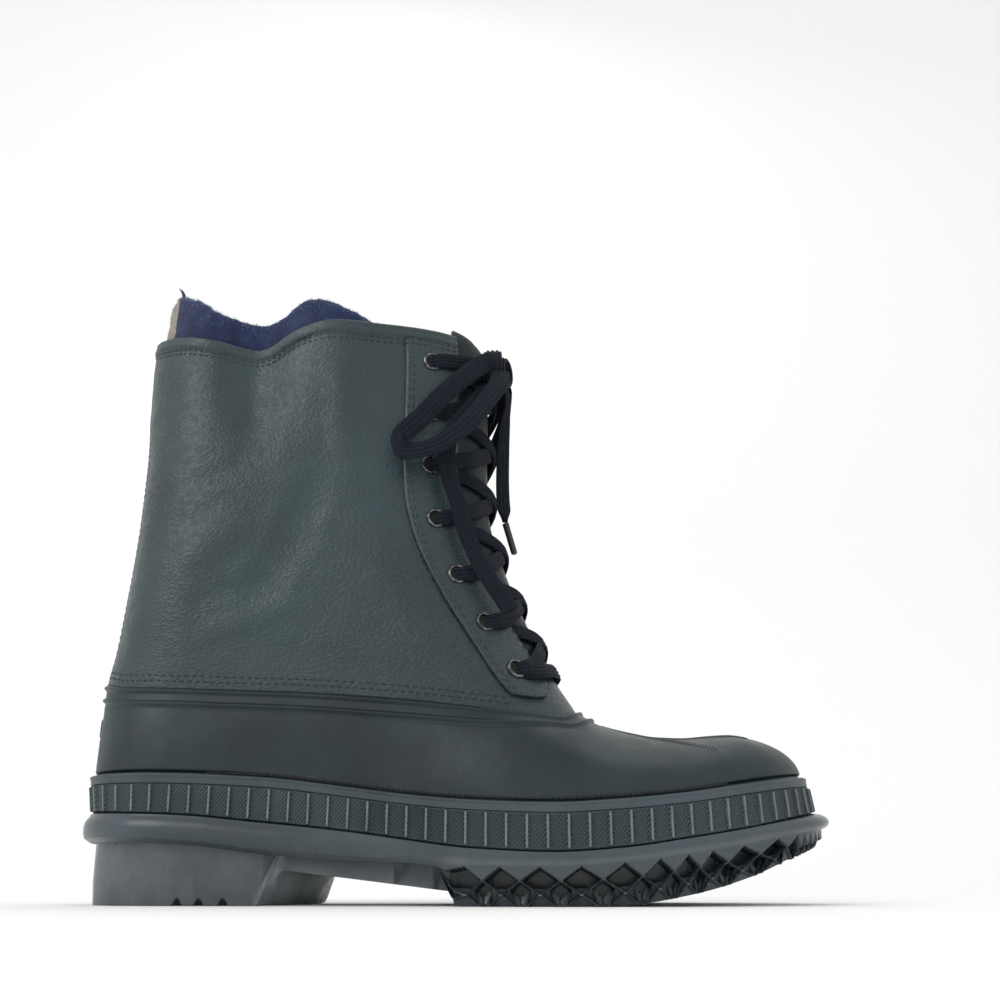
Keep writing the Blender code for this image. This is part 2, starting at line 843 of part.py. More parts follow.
def build_shaft(material):
    turns = leg_turns()
    levels = [(1.0, COLLAR_RISE), (1.0 - COLLAR_BEAD / LEG_RISE, COLLAR_RISE),
              (1.0 - COLLAR_BEAD * 1.15 / LEG_RISE, LEATHER_OUT)]
    levels += [(level, LEATHER_OUT) for level in LEG_LEVELS]
    outer = []
    inner = []
    for level, out in levels:
        outer.append([leg_skin(turn, level, out) for turn in turns])
        inner.append([leg_skin(turn, level, LEATHER_IN) for turn in turns])
    for out_level, in_level, out in SHAFT_FOOT:
        outer.append([leg_skin(turn, out_level, out) for turn in turns])
        inner.append([leg_skin(turn, in_level, out - LEATHER) for turn in turns])
    for depth in (0.0, TUCK):
        outside = []
        inside = []
        for turn in turns:
            q = shell_q(turn)
            t = shell_rows(q, [depth], [])[0]
            outside.append(shell_skin(q, t, TUCK_OUT))
            inside.append(shell_skin(q, t, TUCK_OUT - LEATHER))
        outer.append(outside)
        inner.append(inside)
    throat_row = len(levels) - 1
    gap = FRONT_STATIONS

    def kept(row, column):
        in_gap = column < gap or column >= len(turns) - gap
        return row >= throat_row or not in_gap

    return patch_wall("shaft", outer, inner, kept, True, material, 40)


def turn_from_edge(level, side, distance):
    """Turn at a distance round the leg, back from the throat's edge."""
    knee = share_angle(THROAT_SHELL)
    count = 60
    run = 0.0
    last = leg_skin(side * knee, level, 0.0)
    for i in range(1, count + 1):
        angle = knee * (1 - 0.5 * i / count)
        point = leg_skin(side * angle, level, 0.0)
        ahead = run + (point - last).length
        if ahead >= distance:
            part = (distance - run) / (ahead - run)
            return side * knee * (1 - 0.5 * (i - 1 + part) / count)
        run = ahead
        last = point
    return side * knee * 0.5


EYESTAY_IN = LEATHER_OUT + 0.0005
EYESTAY_OUT = EYESTAY_IN + EYESTAY_WALL


def build_eyestay(side, material):
    levels = [0.95] + list(LEG_LEVELS) + [0.022]
    shares = [0.0, 0.20, 0.56, 1.0]
    outer = []
    inner = []
    for level in levels:
        wide = EYESTAY_WIDTH * (0.72 if level == levels[-1] else 1.0)
        turns = [turn_from_edge(level, side, wide * s) for s in shares]
        turns.sort(reverse=True)
        outer.append([leg_skin(turn, level, EYESTAY_OUT) for turn in turns])
        inner.append([leg_skin(turn, level, EYESTAY_IN) for turn in turns])
    name = "eyestay_" + side_name(side)
    return patch_wall(name, outer, inner, lambda row, column: True, False, material, 40)


TONGUE_OUT = LEATHER_IN - 3 * GAP
TONGUE_SPAN = math.radians(34)
TONGUE_TOP = 1.035


def build_tongue(material):
    columns = 8
    levels = [TONGUE_TOP, 0.985] + list(LEG_LEVELS) + [0.05]
    turns = [math.pi + lerp(TONGUE_SPAN, -TONGUE_SPAN, i / columns) for i in range(columns + 1)]
    outer = []
    inner = []
    for level in levels:
        outer.append([leg_skin(turn, level, TONGUE_OUT) for turn in turns])
        inner.append([leg_skin(turn, level, TONGUE_OUT - TONGUE_WALL) for turn in turns])
    return patch_wall("tongue", outer, inner, lambda row, column: True, False, material, 40)


LINER_GAP = 0.0013


def liner_out(turn, level):
    """Depth of the liner's outer face: behind the leather at the sides, the tongue in front."""
    turn = abs((turn + math.pi) % (2 * math.pi) - math.pi)
    front = step(turn, math.radians(118), math.pi - TONGUE_SPAN)
    leg = lerp(LEATHER_IN, TONGUE_OUT - TONGUE_WALL, front) - lerp(LINER_GAP, 2 * LINER_GAP, front)
    return lerp(min(LINER_FOOT, leg), leg, step(level, 0.03, 0.12))


def build_liner(material):
    turns = leg_turns()
    outer = []
    inner = []
    top_out = []
    top_in = []
    for turn in turns:
        side = 1 if turn > 0 else -1
        share = leg_share(abs(turn), 1.0)
        rise = read(COLLAR, "felt_" + side_name(side), share) * LINER_RISE
        level = 1.0 + rise / leg_height(turn)
        out = liner_out(turn, 1.0)
        top_out.append(leg_skin(turn, level, out))
        top_in.append(leg_skin(turn, level, out - FELT))
    outer.append(top_out)
    inner.append(top_in)
    for level in (0.86, 0.54, 0.26, 0.10, 0.03, 0.01):
        outer.append([leg_skin(turn, level, liner_out(turn, level)) for turn in turns])
        inner.append([leg_skin(turn, level, liner_out(turn, level) - FELT) for turn in turns])
    columns = [(q, shell_rows(q, [0.0, TUCK], [0.25, 0.58, 1.0])) for q in map(shell_q, turns)]
    for row in range(5):
        outer.append([shell_skin(q, places[row], LINER_FOOT) for q, places in columns])
        inner.append([shell_skin(q, places[row], LINER_FOOT - FELT) for q, places in columns])
    lift = Vector((0, 0, GAP))
    outer.append([skirt_point(shell_q(turn), 1.0, LINER_FOOT) + lift for turn in turns])
    inner.append([skirt_point(shell_q(turn), 1.0, LINER_FOOT - FELT) + lift for turn in turns])
    return patch_wall("liner", outer, inner, lambda row, column: True, True, material, 50)


def cap_faces(count, base, up):
    """Faces across a closed row of points that starts at the heel and mirrors side to side."""
    faces = []
    half = count // 2
    for i in range(half):
        k = (count - i) % count
        far = (count - i - 1) % count
        corners = [i, i + 1, far, k]
        if i == 0:
            corners = [0, 1, far]
        elif i == half - 1:
            corners = [i, half, k]
        if not up:
            corners.reverse()
        faces.append(tuple(base + c for c in corners))
    return faces


def build_insole(material):
    qs = sorted(shell_q(turn) % 1.0 for turn in leg_turns())
    count = len(qs)
    edge = LINER_FOOT - FELT - GAP
    lift = Vector((0, 0, GAP))
    low = [skirt_point(q, 1.0, edge) + lift for q in qs]
    high = []
    for q in qs:
        depth = skirt_point(q, 0.0, 0.0).z - skirt_point(q, 1.0, 0.0).z
        high.append(skirt_point(q, 1.0 - INSOLE_WALL / depth, edge) + lift)
    faces = cap_faces(count, 0, True) + cap_faces(count, count, False)
    for i in range(count):
        k = (i + 1) % count
        faces.append((i, count + i, count + k, k))
    return new_object("insole", high + low, faces, material, 40)


# Eyelets and laces

EYELET_HEIGHTS = (0.920, 0.820, 0.720, 0.620, 0.520, 0.437, 0.357)
EYELET_SET = 0.0138


def level_at(turn, z):
    """Level of the leg's skin at a height, on a turn."""
    low, high = 0.0, 1.0
    for _ in range(30):
        middle = (low + high) / 2
        if leg_skin(turn, middle, 0.0).z < z:
            low = middle
        else:
            high = middle
    return low


def eyelet_place(side, index):
    """Turn and level of an eyelet's middle."""
    z = EYELET_HEIGHTS[index] * COLLAR_HEIGHT
    turn = side * share_angle(THROAT_SHELL) * 0.97
    for _ in range(3):
        level = level_at(turn, z)
        turn = turn_from_edge(level, side, EYELET_SET)
    return turn, level


def build_eyelet(side, index, material):
    turn, level = eyelet_place(side, index)
    centre = leg_skin(turn, level, EYESTAY_OUT + 2 * GAP)
    outward = (leg_skin(turn, level, 0.01) - leg_skin(turn, level, 0.0)).normalized()
    along = Vector((0, 0, 1)).cross(outward).normalized()
    across = outward.cross(along)
    sides = 8
    profile = ((EYELET_RADIUS, 0.0), ((EYELET_RADIUS + EYELET_HOLE) / 2, EYELET_RISE),
               (EYELET_HOLE, 0.0))
    points = []
    for i in range(sides):
        angle = 2 * math.pi * i / sides
        spoke = along * math.cos(angle) + across * math.sin(angle)
        points += [centre + spoke * radius + outward * rise for radius, rise in profile]
    faces = []
    for i in range(sides):
        a = 3 * i
        b = 3 * ((i + 1) % sides)
        for k in range(3):
            n = (k + 1) % 3
            faces.append((a + k, b + k, b + n, a + n))
    return new_object(f"eyelet_{side_name(side)}_{index + 1}", points, faces, material, 60)


LACE_OUT = EYESTAY_OUT + 0.0015
LACE_START = 0.0036
LACE_DIP = 0.0024
LACE_LIFT = 0.0005


def lace_strip(start, end, lift):
    """Flat lace across the throat between two places (side, index) on the eyestays."""
    steps = 5
    ends = []
    for side, index in (start, end):
        _, level = eyelet_place(side, index)
        turn = turn_from_edge(level, side, LACE_START + lift)
        ends.append((math.pi - abs(turn) if side < 0 else abs(turn) - math.pi, level))
    points = []
    for i in range(steps + 1):
        t = i / steps
        shift = lerp(ends[0][0], ends[1][0], t)
        level = lerp(ends[0][1], ends[1][1], t)
        out = LACE_OUT + lift - LACE_DIP * math.sin(math.pi * t) ** 2
        half = (LACE_WIDTH / 2 - lift * 0.4) / LEG_RISE
        for edge, height in ((-half, out), (half, out), (half, out + LACE_WALL),
                             (-half, out + LACE_WALL)):
            points.append(leg_skin(math.pi + shift, level + edge, height))
    faces = [(0, 1, 2, 3), tuple(4 * steps + k for k in (3, 2, 1, 0))]
    for i in range(steps):
        a = 4 * i
        for k in range(4):
            n = (k + 1) % 4
            faces.append((a + k, a + 4 + k, a + 4 + n, a + n))
    return points, outward(points, faces)


def build_lace_crossings(material):
    parts = bpy.data.collections.new("lace strips")
    bpy.context.scene.collection.children.link(parts)
    last = EYELETS - 1
    strips = []
    for i in reversed(range(last)):
        strips += [((-1, i + 1), (1, i), 0.0), ((1, i + 1), (-1, i), LACE_LIFT)]
    points, faces = lace_strip((-1, last), (1, last), LACE_LIFT * 0.4)
    item = new_object("lace_crossings", points, faces, material, 40)
    for start, end, lift in strips:
        points, faces = lace_strip(start, end, lift)
        join = item.modifiers.new("strip", "BOOLEAN")
        join.operation = "UNION"
        join.object = helper("strip", points, faces, parts)
    return item


# Knot, loops and ends: routes in millimetres from the boot's middle, chosen by hand

CORD_DIAMETER = 0.0050
CORD_SPACING = 0.0110
KNOT_CENTRE = (13.6, -13.0, 248.8)
KNOT_RADII = (8.9, 6.9, 6.0)
LOOP_LATERAL = (
    (15, -22, 250.3), (9, -27.5, 245), (1, -33, 236), (-9, -37.5, 224), (-18, -40.5, 212),
    (-25, -42.5, 204), (-29, -44, 198.5), (-25, -45, 193), (-15, -45, 194), (-5, -43.5, 200),
    (4, -40, 210), (11, -34.5, 222), (17, -28.5, 234), (18, -22.5, 244),
)
LOOP_MEDIAL = (
    (17.2, -5.9, 250), (19.5, 2.5, 248), (18.5, 11, 243), (14, 21, 237), (7, 29, 229), (-2, 35.5, 219),
    (-12, 40.5, 209), (-20, 43, 202), (-24, 44, 196.5), (-20, 44.5, 191), (-9, 43, 193),
    (1, 38.5, 200), (9, 32, 210), (15.5, 23, 222), (20, 12.5, 233), (22, 4, 240), (22.5, -3.5, 243.5),
)
END_LATERAL = (
    (14, -14.5, 241), (13.5, -20.5, 236.5), (8.5, -26.5, 229), (3, -32, 219), (-3, -35.5, 209),
    (-6.5, -36.5, 198), (-6, -36, 186), (-1.8, -35, 172), (3, -34, 156), (9, -34, 142.6),
    (15.5, -34.5, 131.6), (22.3, -35, 121),
)
END_MEDIAL = (
    (20, -12.5, 242.3), (21.5, -7, 235), (20.5, -1.5, 227), (19.5, 2, 215), (19, 3.5, 200),
    (19.2, 4, 187), (20.2, 4, 175),
)
AGLET = ((20.4, 4, 174.2), (24.8, 4, 158.5))
AGLET_RADIUS = 0.0016


def smooth_route(points, spacing):
    """Points at about an even spacing along a smooth curve through the route's points."""
    knots = [Vector(p) * MM for p in points]
    knots = [2 * knots[0] - knots[1]] + knots + [2 * knots[-1] - knots[-2]]
    line = []
    fine = 12
    for a, b, c, d in zip(knots, knots[1:], knots[2:], knots[3:]):
        for i in range(fine):
            t = i / fine
            bend = (2 * b + (c - a) * t + (2 * a - 5 * b + 4 * c - d) * t * t
                    + (3 * b - a - 3 * c + d) * t ** 3)
            line.append(bend / 2)
    line.append(knots[-2])
    run = [0.0]
    for a, b in zip(line, line[1:]):
        run.append(run[-1] + (b - a).length)
    count = max(2, round(run[-1] / spacing))
    result = []
    for i in range(count + 1):
        distance = run[-1] * i / count
        k = min(max(bisect_right(run, distance) - 1, 0), len(line) - 2)
        result.append(line[k].lerp(line[k + 1], (distance - run[k]) / (run[k + 1] - run[k])))
    return result


def build_tube(name, points, radius, material):
    curve = bpy.data.curves.new(name, "CURVE")
    curve.dimensions = "3D"
    curve.bevel_depth = radius
    curve.bevel_resolution = 2
    curve.use_fill_caps = True
    curve.materials.append(material)
    spline = curve.splines.new("POLY")
    spline.points.add(len(points) - 1)
    for spot, point in zip(spline.points, points):
        spot.co = (*point, 1.0)
    item = bpy.data.objects.new(name, curve)
    bpy.context.scene.collection.objects.link(item)
    return item


def build_knot(material):
    mesh = bpy.data.meshes.new("lace_knot")
    body = bmesh.new()
    bmesh.ops.create_uvsphere(body, u_segments=10, v_segments=6, radius=1.0)
    for vertex in body.verts:
        vertex.co = [c * r * MM for c, r in zip(vertex.co, KNOT_RADII)]
    body.to_mesh(mesh)
    body.free()
    mesh.shade_smooth()
    mesh.materials.append(material)
    item = bpy.data.objects.new("lace_knot", mesh)
    item.location = Vector(KNOT_CENTRE) * MM
    bpy.context.scene.collection.objects.link(item)
    return item


def build_bow(cord, tip):
    build_knot(cord)
    radius = CORD_DIAMETER / 2
    routes = (("lace_loop_lateral", LOOP_LATERAL), ("lace_loop_medial", LOOP_MEDIAL),
              ("lace_end_lateral", END_LATERAL), ("lace_end_medial", END_MEDIAL))
    for name, route in routes:
        build_tube(name, smooth_route(route, CORD_SPACING), radius, cord)
    build_tube("aglet", [Vector(p) * MM for p in AGLET], AGLET_RADIUS, tip)


def main():
    for item in list(bpy.data.objects):
        bpy.data.objects.remove(item)
    rubber = new_material("shell_rubber", (0.055, 0.062, 0.066), 0.42)
    sole_rubber = new_material("sole_rubber", (0.050, 0.056, 0.060), 0.50)
    leather = new_material("leg_leather", (0.050, 0.058, 0.060), 0.46)
    felt = new_material("liner_felt", (0.030, 0.050, 0.140), 0.95)
    metal = new_material("eyelet_metal", (0.62, 0.62, 0.62), 0.28, 1.0)
    cord = new_material("lace_cord", (0.018, 0.022, 0.035), 0.85)
    tip = new_material("lace_tip", (0.020, 0.020, 0.022), 0.30)
    build_upper(rubber)
    build_rand(rubber)
    build_outsole(sole_rubber)
    build_shaft(leather)
    build_tongue(leather)
    build_liner(felt)
    build_insole(felt)
    for side in (-1, 1):
        build_eyestay(side, leather)
        for index in range(EYELETS):
            build_eyelet(side, index, metal)
    build_lace_crossings(cord)
    build_bow(cord, tip)


main()
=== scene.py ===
"""Looks of the pac boot: fine surfaces, stitches, laces, felt, floor, light and camera.

Metres, +Z up, toe towards +X, outer (lateral) side towards -Y. Lengths along the boot are
measured from the back of the heel bead in the tables, and from the boot's middle in the meshes.
"""
import math

import bpy
import numpy as np
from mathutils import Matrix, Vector


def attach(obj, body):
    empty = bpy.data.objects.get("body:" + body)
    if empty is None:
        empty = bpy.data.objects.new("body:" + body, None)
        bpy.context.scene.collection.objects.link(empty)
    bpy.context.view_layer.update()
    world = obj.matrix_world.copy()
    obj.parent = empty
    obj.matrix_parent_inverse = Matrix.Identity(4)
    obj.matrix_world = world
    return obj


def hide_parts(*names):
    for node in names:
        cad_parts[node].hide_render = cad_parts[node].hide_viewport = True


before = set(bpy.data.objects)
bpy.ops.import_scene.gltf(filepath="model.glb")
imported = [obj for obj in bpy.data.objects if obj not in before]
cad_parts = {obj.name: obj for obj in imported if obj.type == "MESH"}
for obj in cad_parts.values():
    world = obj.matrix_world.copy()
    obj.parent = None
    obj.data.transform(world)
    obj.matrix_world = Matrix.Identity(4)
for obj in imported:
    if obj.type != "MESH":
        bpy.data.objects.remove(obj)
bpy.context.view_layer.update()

MM = 0.001

# Sizes of the part's source, but with closer, lower ribs and a thinner lace
LENGTH = 0.325
BALL_WIDTH = 0.116
SIDE_HEIGHT = 0.052
SHELL_HEIGHT = 0.093
COLLAR_HEIGHT = 0.266
COLLAR_LENGTH = 0.168
COLLAR_WIDTH = 0.075
LINER_RISE = 0.029
HEEL_SET = 0.0026
TOE_SET = 0.0105
GAP = 0.0004
RAND_GAP = 0.0007
SHELL_WALL = 0.0024
RAND_WALL = 0.0018
LEATHER = 0.0019
FELT = 0.0060
TONGUE_WALL = 0.0035
EYESTAY_WALL = 0.0016
INSOLE_WALL = 0.0050
BEAD_RISE = 0.0012
RIB_PITCH = 0.0082
RIB_RISE = 0.0007
RAND_STRIP = 0.0045
HEEL_BEAD_RISE = 0.0026
EYELET_RADIUS = 0.0047
EYELETS = 7
EYESTAY_WIDTH = 0.0265
LACE_WIDTH = 0.0080
LACE_WALL = 0.0015
CROSSING_WIDTH = 0.0074
LOOP_WIDTH = 0.0094
LIP_RISE = 0.0062
SOLE_LEDGE = 0.0022
LEATHER_OUT = -0.0006
LEATHER_IN = LEATHER_OUT - LEATHER
TUCK_OUT = -SHELL_WALL - 0.0009
LINER_FOOT = TUCK_OUT - LEATHER - 4 * GAP
LINER_GAP = 0.0013
TONGUE_OUT = LEATHER_IN - 3 * GAP
EYESTAY_OUT = LEATHER_OUT + 0.0005 + EYESTAY_WALL
LEG_RISE = COLLAR_HEIGHT - SHELL_HEIGHT


# Tables and the functions that read them


def slopes(xs, ys):
    """Slopes at a table's rows for a smooth curve that keeps its rises and falls."""
    steps = np.diff(xs)
    rises = np.diff(ys) / steps
    result = np.empty(len(xs))
    result[0] = rises[0]
    result[-1] = rises[-1]
    before = 2 * steps[1:] + steps[:-1]
    after = steps[1:] + 2 * steps[:-1]
    turned = rises[:-1] * rises[1:] <= 0
    first = np.where(turned, 1.0, rises[:-1])
    second = np.where(turned, 1.0, rises[1:])
    result[1:-1] = np.where(turned, 0.0, (before + after) / (before / first + after / second))
    return result


def table(header, rows):
    """Named columns from a header line and a row for each section."""
    grid = np.array(rows, float)
    columns = {"share": grid[:, 0]}
    for i, name in enumerate(header.split()[1:], 1):
        columns[name] = (grid[:, i], slopes(grid[:, 0], grid[:, i]))
    return columns


def read(source, column, place):
    """Smooth values of a table's column at places along its first column."""
    xs = source["share"]
    ys, slope = source[column]
    place = np.clip(place, xs[0], xs[-1])
    i = np.clip(np.searchsorted(xs, place, side="right") - 1, 0, len(xs) - 2)
    wide = xs[i + 1] - xs[i]
    t = (place - xs[i]) / wide
    ease = t * t * (3 - 2 * t)
    hill = t * (1 - t) ** 2 * slope[i] - t * t * (1 - t) * slope[i + 1]
    return ys[i] + (ys[i + 1] - ys[i]) * ease + wide * hill


def by_side(source, side, place, prefix=""):
    """Lateral or medial column, by the sign of side."""
    lateral = read(source, prefix + "lateral", place)
    return np.where(side < 0, lateral, read(source, prefix + "medial", place))


FORM = table(
    "share swing lateral medial rand_top sole_top lean wall_foot ground",
    [
        (0.00, 0.000, 0.345, 0.345, 1.00, 0.735, -0.045, 0.480, 0.000),
        (0.08, 0.000, 0.350, 0.350, 0.99, 0.710, -0.040, 0.470, 0.000),
        (0.16, 0.000, 0.358, 0.350, 0.98, 0.690, -0.030, 0.450, 0.000),
        (0.26, 0.000, 0.355, 0.322, 0.95, 0.630, -0.010, 0.380, 0.000),
        (0.36, 0.000, 0.362, 0.290, 0.88, 0.550, 0.000, 0.335, 0.000),
        (0.45, 0.000, 0.395, 0.290, 0.81, 0.470, 0.000, 0.310, 0.000),
        (0.52, 0.000, 0.440, 0.325, 0.77, 0.415, 0.000, 0.255, 0.000),
        (0.62, 0.010, 0.492, 0.400, 0.745, 0.385, 0.000, 0.250, 0.000),
        (0.70, 0.020, 0.500, 0.452, 0.77, 0.415, 0.000, 0.280, 0.008),
        (0.78, 0.032, 0.497, 0.466, 0.82, 0.485, 0.006, 0.340, 0.078),
        (0.86, 0.045, 0.490, 0.462, 0.90, 0.570, 0.015, 0.420, 0.205),
        (0.94, 0.060, 0.480, 0.452, 0.985, 0.680, 0.035, 0.530, 0.400),
        (1.00, 0.070, 0.470, 0.445, 1.04, 0.780, 0.050, 0.610, 0.560),
    ],
)
FAN = table(
    "share loop",
    [
        (0.00, 0.00), (0.30, 0.45), (0.50, 0.745), (0.60, 0.86), (0.70, 0.925), (0.85, 0.975),
        (1.00, 1.00),
    ],
)
LOOP = table(
    "share lateral medial height",
    [
        (0.00, 0.46, 0.46, 1.000),
        (0.08, 0.47, 0.47, 0.950),
        (0.25, 0.485, 0.48, 0.930),
        (0.44, 0.495, 0.485, 0.915),
        (0.64, 0.530, 0.515, 0.880),
        (0.83, 0.560, 0.545, 0.828),
        (0.93, 0.570, 0.555, 0.805),
        (1.00, 0.570, 0.555, 0.866),
    ],
)
RIDGE = table(
    "share height",
    [
        (0.56, 1.02), (0.62, 0.955), (0.663, 0.866), (0.694, 0.806), (0.727, 0.770),
        (0.763, 0.748), (0.800, 0.742), (0.840, 0.755), (0.874, 0.766), (1.000, 0.770),
    ],
)
TOE_POLE = 0.86
LEG = table(
    "share back front",
    [
        (0.25, 0.006, 1.325),
        (0.303, 0.008, 1.283),
        (0.350, 0.011, 1.235),
        (0.400, 0.023, 1.195),
        (0.490, 0.035, 1.130),
        (0.583, 0.044, 1.076),
        (0.660, 0.047, 1.045),
        (0.740, 0.047, 1.038),
        (0.860, 0.038, 1.040),
        (0.960, 0.032, 1.036),
        (1.040, 0.038, 1.020),
    ],
)
RING = table(
    "share lateral medial back_end front_end",
    [
        (0.00, 0.52, 0.52, 0.19, 0.20),
        (0.25, 0.505, 0.49, 0.22, 0.34),
        (0.50, 0.500, 0.48, 0.27, 0.42),
        (0.75, 0.500, 0.49, 0.31, 0.44),
        (1.00, 0.495, 0.495, 0.34, 0.44),
    ],
)
# The outer side's line is up to 5 mm lower than the part's near the back, as in the photo
COLLAR = table(
    "share lateral medial felt_lateral felt_medial",
    [
        (0.00, 0.994, 1.000, 0.58, 0.55),
        (0.06, 0.982, 0.998, 0.90, 0.80),
        (0.14, 0.971, 0.992, 0.78, 0.55),
        (0.24, 0.958, 0.988, 0.60, 0.42),
        (0.34, 0.950, 0.986, 0.58, 0.36),
        (0.46, 0.978, 0.986, 0.62, 0.34),
        (0.56, 0.990, 0.984, 0.44, 0.28),
        (0.70, 0.988, 0.986, 0.08, 0.10),
        (0.85, 0.988, 0.986, -0.25, -0.20),
        (1.00, 0.984, 0.984, -0.50, -0.50),
    ],
)


def step(value, low, high):
    """Smooth step from 0 at low to 1 at high."""
    t = np.clip((value - low) / (high - low), 0.0, 1.0)
    return t * t * (3 - 2 * t)


def lerp(a, b, t):
    return a + (b - a) * t


def bump(value, middle, half):
    """Smooth hill of height 1 at the middle, 0 beyond half a width."""
    t = np.clip(np.abs(value - middle) / half, 0.0, 1.0)
    return (1 - t * t) ** 2


def arch(t, power=2.2):
    """Quarter of a rounded outline: 1 at t = 0, falling to 0 at t = 1."""
    t = np.clip(t, 0.0, 1.0)
    return (1 - t ** power) ** (1 / power)


def pack(x, y, z):
    return np.stack(np.broadcast_arrays(x, y, z), axis=-1).astype(float)


def unit(v):
    return v / np.maximum(np.linalg.norm(v, axis=-1, keepdims=True), 1e-12)


def run_along(points):
    """Distance of each point of a line from its first one, along the line."""
    return np.concatenate([[0], np.cumsum(np.linalg.norm(np.diff(points, axis=0), axis=1))])


def read_along(spots, run, values):
    """A line's points or directions, read at distances along it."""
    return np.stack([np.interp(spots, run, values[:, k]) for k in range(3)], 1)


# The last: the part's own skin functions, for arrays


HEEL_SHARE = HEEL_SET / LENGTH
TOE_SHARE = 1 - TOE_SET / LENGTH
HEEL_END = 0.135
TOE_END = 0.27
SIDE_LEAN = math.radians(42)
THROAT_SHELL = 0.962
THROAT_COLLAR = 0.912


def station(q):
    q = np.mod(q, 1.0)
    return np.where(q <= 0.5, 2 * q, 2 * (1 - q)), np.where(q <= 0.5, -1, 1)


def half_width(share, side):
    local = np.clip((share - HEEL_SHARE) / (TOE_SHARE - HEEL_SHARE), 0.0, 1.0)
    ends = arch(1 - np.minimum(local / HEEL_END, 1))
    ends = ends * arch(np.maximum(local - 1 + TOE_END, 0) / TOE_END)
    return by_side(FORM, side, share) * BALL_WIDTH * ends


def foot_point(q):
    along, side = station(q)
    share = lerp(HEEL_SHARE, TOE_SHARE, (1 - np.cos(np.pi * along)) / 2)
    y = read(FORM, "swing", share) * BALL_WIDTH + side * half_width(share, side)
    return pack(share * LENGTH, y, read(FORM, "rand_top", share) * SIDE_HEIGHT)


def leg_x(share, z):
    back = read(LEG, "back", z / COLLAR_HEIGHT) * COLLAR_LENGTH
    front = read(LEG, "front", z / COLLAR_HEIGHT) * COLLAR_LENGTH
    return lerp(back, front, share)


def ring_y(share, side, level):
    low = by_side(LOOP, side, share) * COLLAR_WIDTH
    high = by_side(RING, side, level) * COLLAR_WIDTH
    half = lerp(low, high, step(level, 0.0, 0.35))
    back = arch(1 - np.minimum(share / read(RING, "back_end", level), 1), 2.1)
    front = read(RING, "front_end", level)
    return side * half * back * arch(np.maximum(share - 1 + front, 0) / front, 2.1)


def dent(share, level):
    """Slack of the lateral wall below the collar: a trough with a ridge in front of it."""
    high = step(level, 0.55, 1.0)
    trough = np.exp(-((share - 0.34) / 0.10) ** 2)
    ridge = np.exp(-((share - 0.58) / 0.10) ** 2)
    return COLLAR_WIDTH * high * (0.13 * trough - 0.03 * ridge)


def leg_point(share, side, level):
    low = read(LOOP, "height", share) * SHELL_HEIGHT
    high = by_side(COLLAR, side, share) * COLLAR_HEIGHT
    z = lerp(low, high, level)
    y = ring_y(share, side, level)
    return pack(leg_x(share, z), y + np.where(side < 0, dent(share, level), 0.0), z)


def loop_share(q):
    along, side = station(q)
    return read(FAN, "loop", (1 - np.cos(np.pi * along)) / 2), side


def vamp_height(x, y):
    share = x / LENGTH
    swing = read(FORM, "swing", share) * BALL_WIDTH
    side = np.where(y < swing, -1, 1)
    foot = read(FORM, "rand_top", share) * SIDE_HEIGHT
    crest = read(RIDGE, "height", share) * SHELL_HEIGHT
    crest = lerp(foot, crest, arch((share - TOE_POLE) / (TOE_SHARE - TOE_POLE), 2.0))
    half = np.maximum(half_width(share, side), MM)
    return lerp(foot, crest, arch(np.abs(y - swing) / half, 2.2))


def shell_point(q, t):
    q, t = np.broadcast_arrays(q, t)
    along, _ = station(q)
    share, side = loop_share(q)
    top = leg_point(share, side, np.zeros_like(share))
    foot = foot_point(q)
    front = step(along, 0.42, 0.64)
    reach = lerp(SIDE_LEAN, np.pi / 2, front)
    turn = (1 - t) * reach
    inward = (1 - np.cos(turn)) / (1 - np.cos(reach))
    x = lerp(foot[..., 0], top[..., 0], inward)
    y = lerp(foot[..., 1], top[..., 1], inward)
    side_z = lerp(foot[..., 2], top[..., 2], np.sin(turn) / np.sin(reach))
    vamp_z = vamp_height(x, y)
    vamp_z = vamp_z + (top[..., 2] - vamp_height(top[..., 0], top[..., 1])) * inward
    return pack(x, y, lerp(side_z, vamp_z, front))


def shell_normal(q, t, small=0.002):
    across = shell_point(q + small, t) - shell_point(q - small, t)
    up = shell_point(q, np.maximum(t - small, 0.0)) - shell_point(q, np.minimum(t + small, 1.0))
    return unit(np.cross(across, up))


def shell_skin(q, t, out):
    q, t, out = np.broadcast_arrays(q, t, out)
    return shell_point(q, t) + shell_normal(q, t) * out[..., None]


def foot_normal(q):
    ahead = foot_point(q + 0.002) - foot_point(q - 0.002)
    return unit(pack(ahead[..., 1], -ahead[..., 0], 0.0))


def skirt_point(q, drop, out):
    """Side of the foot below the rand's top: drop 0 is the top line and 1 the sole."""
    q, drop, out = np.broadcast_arrays(q, drop, out)
    point = foot_point(q)
    share = point[..., 0] / LENGTH
    low = read(FORM, "sole_top", share) * SIDE_HEIGHT
    lean = read(FORM, "lean", share) * SIDE_HEIGHT
    point = point + foot_normal(q) * (out + lean * drop)[..., None]
    point[..., 2] = lerp(point[..., 2], low, drop)
    return point


def sole_point(q, drop, out):
    """Side of the sole: drop 0 is its top rim and 1 the foot of the side wall."""
    q, drop, out = np.broadcast_arrays(q, drop, out)
    point = foot_point(q)
    share = point[..., 0] / LENGTH
    top = read(FORM, "sole_top", share) * SIDE_HEIGHT
    low = read(FORM, "wall_foot", share) * SIDE_HEIGHT
    lean = read(FORM, "lean", share) * SIDE_HEIGHT
    round_out = np.sin(np.pi * np.minimum(np.maximum(drop, 0) * 1.15, 1.0)) ** 0.5
    toe = LIP_RISE * step(share, 0.86, 0.97) * round_out
    point = point + foot_normal(q) * (out + lean + toe)[..., None]
    point[..., 2] = lerp(top, low, drop)
    return point


def share_angle(share):
    return math.acos(1 - 2 * share)


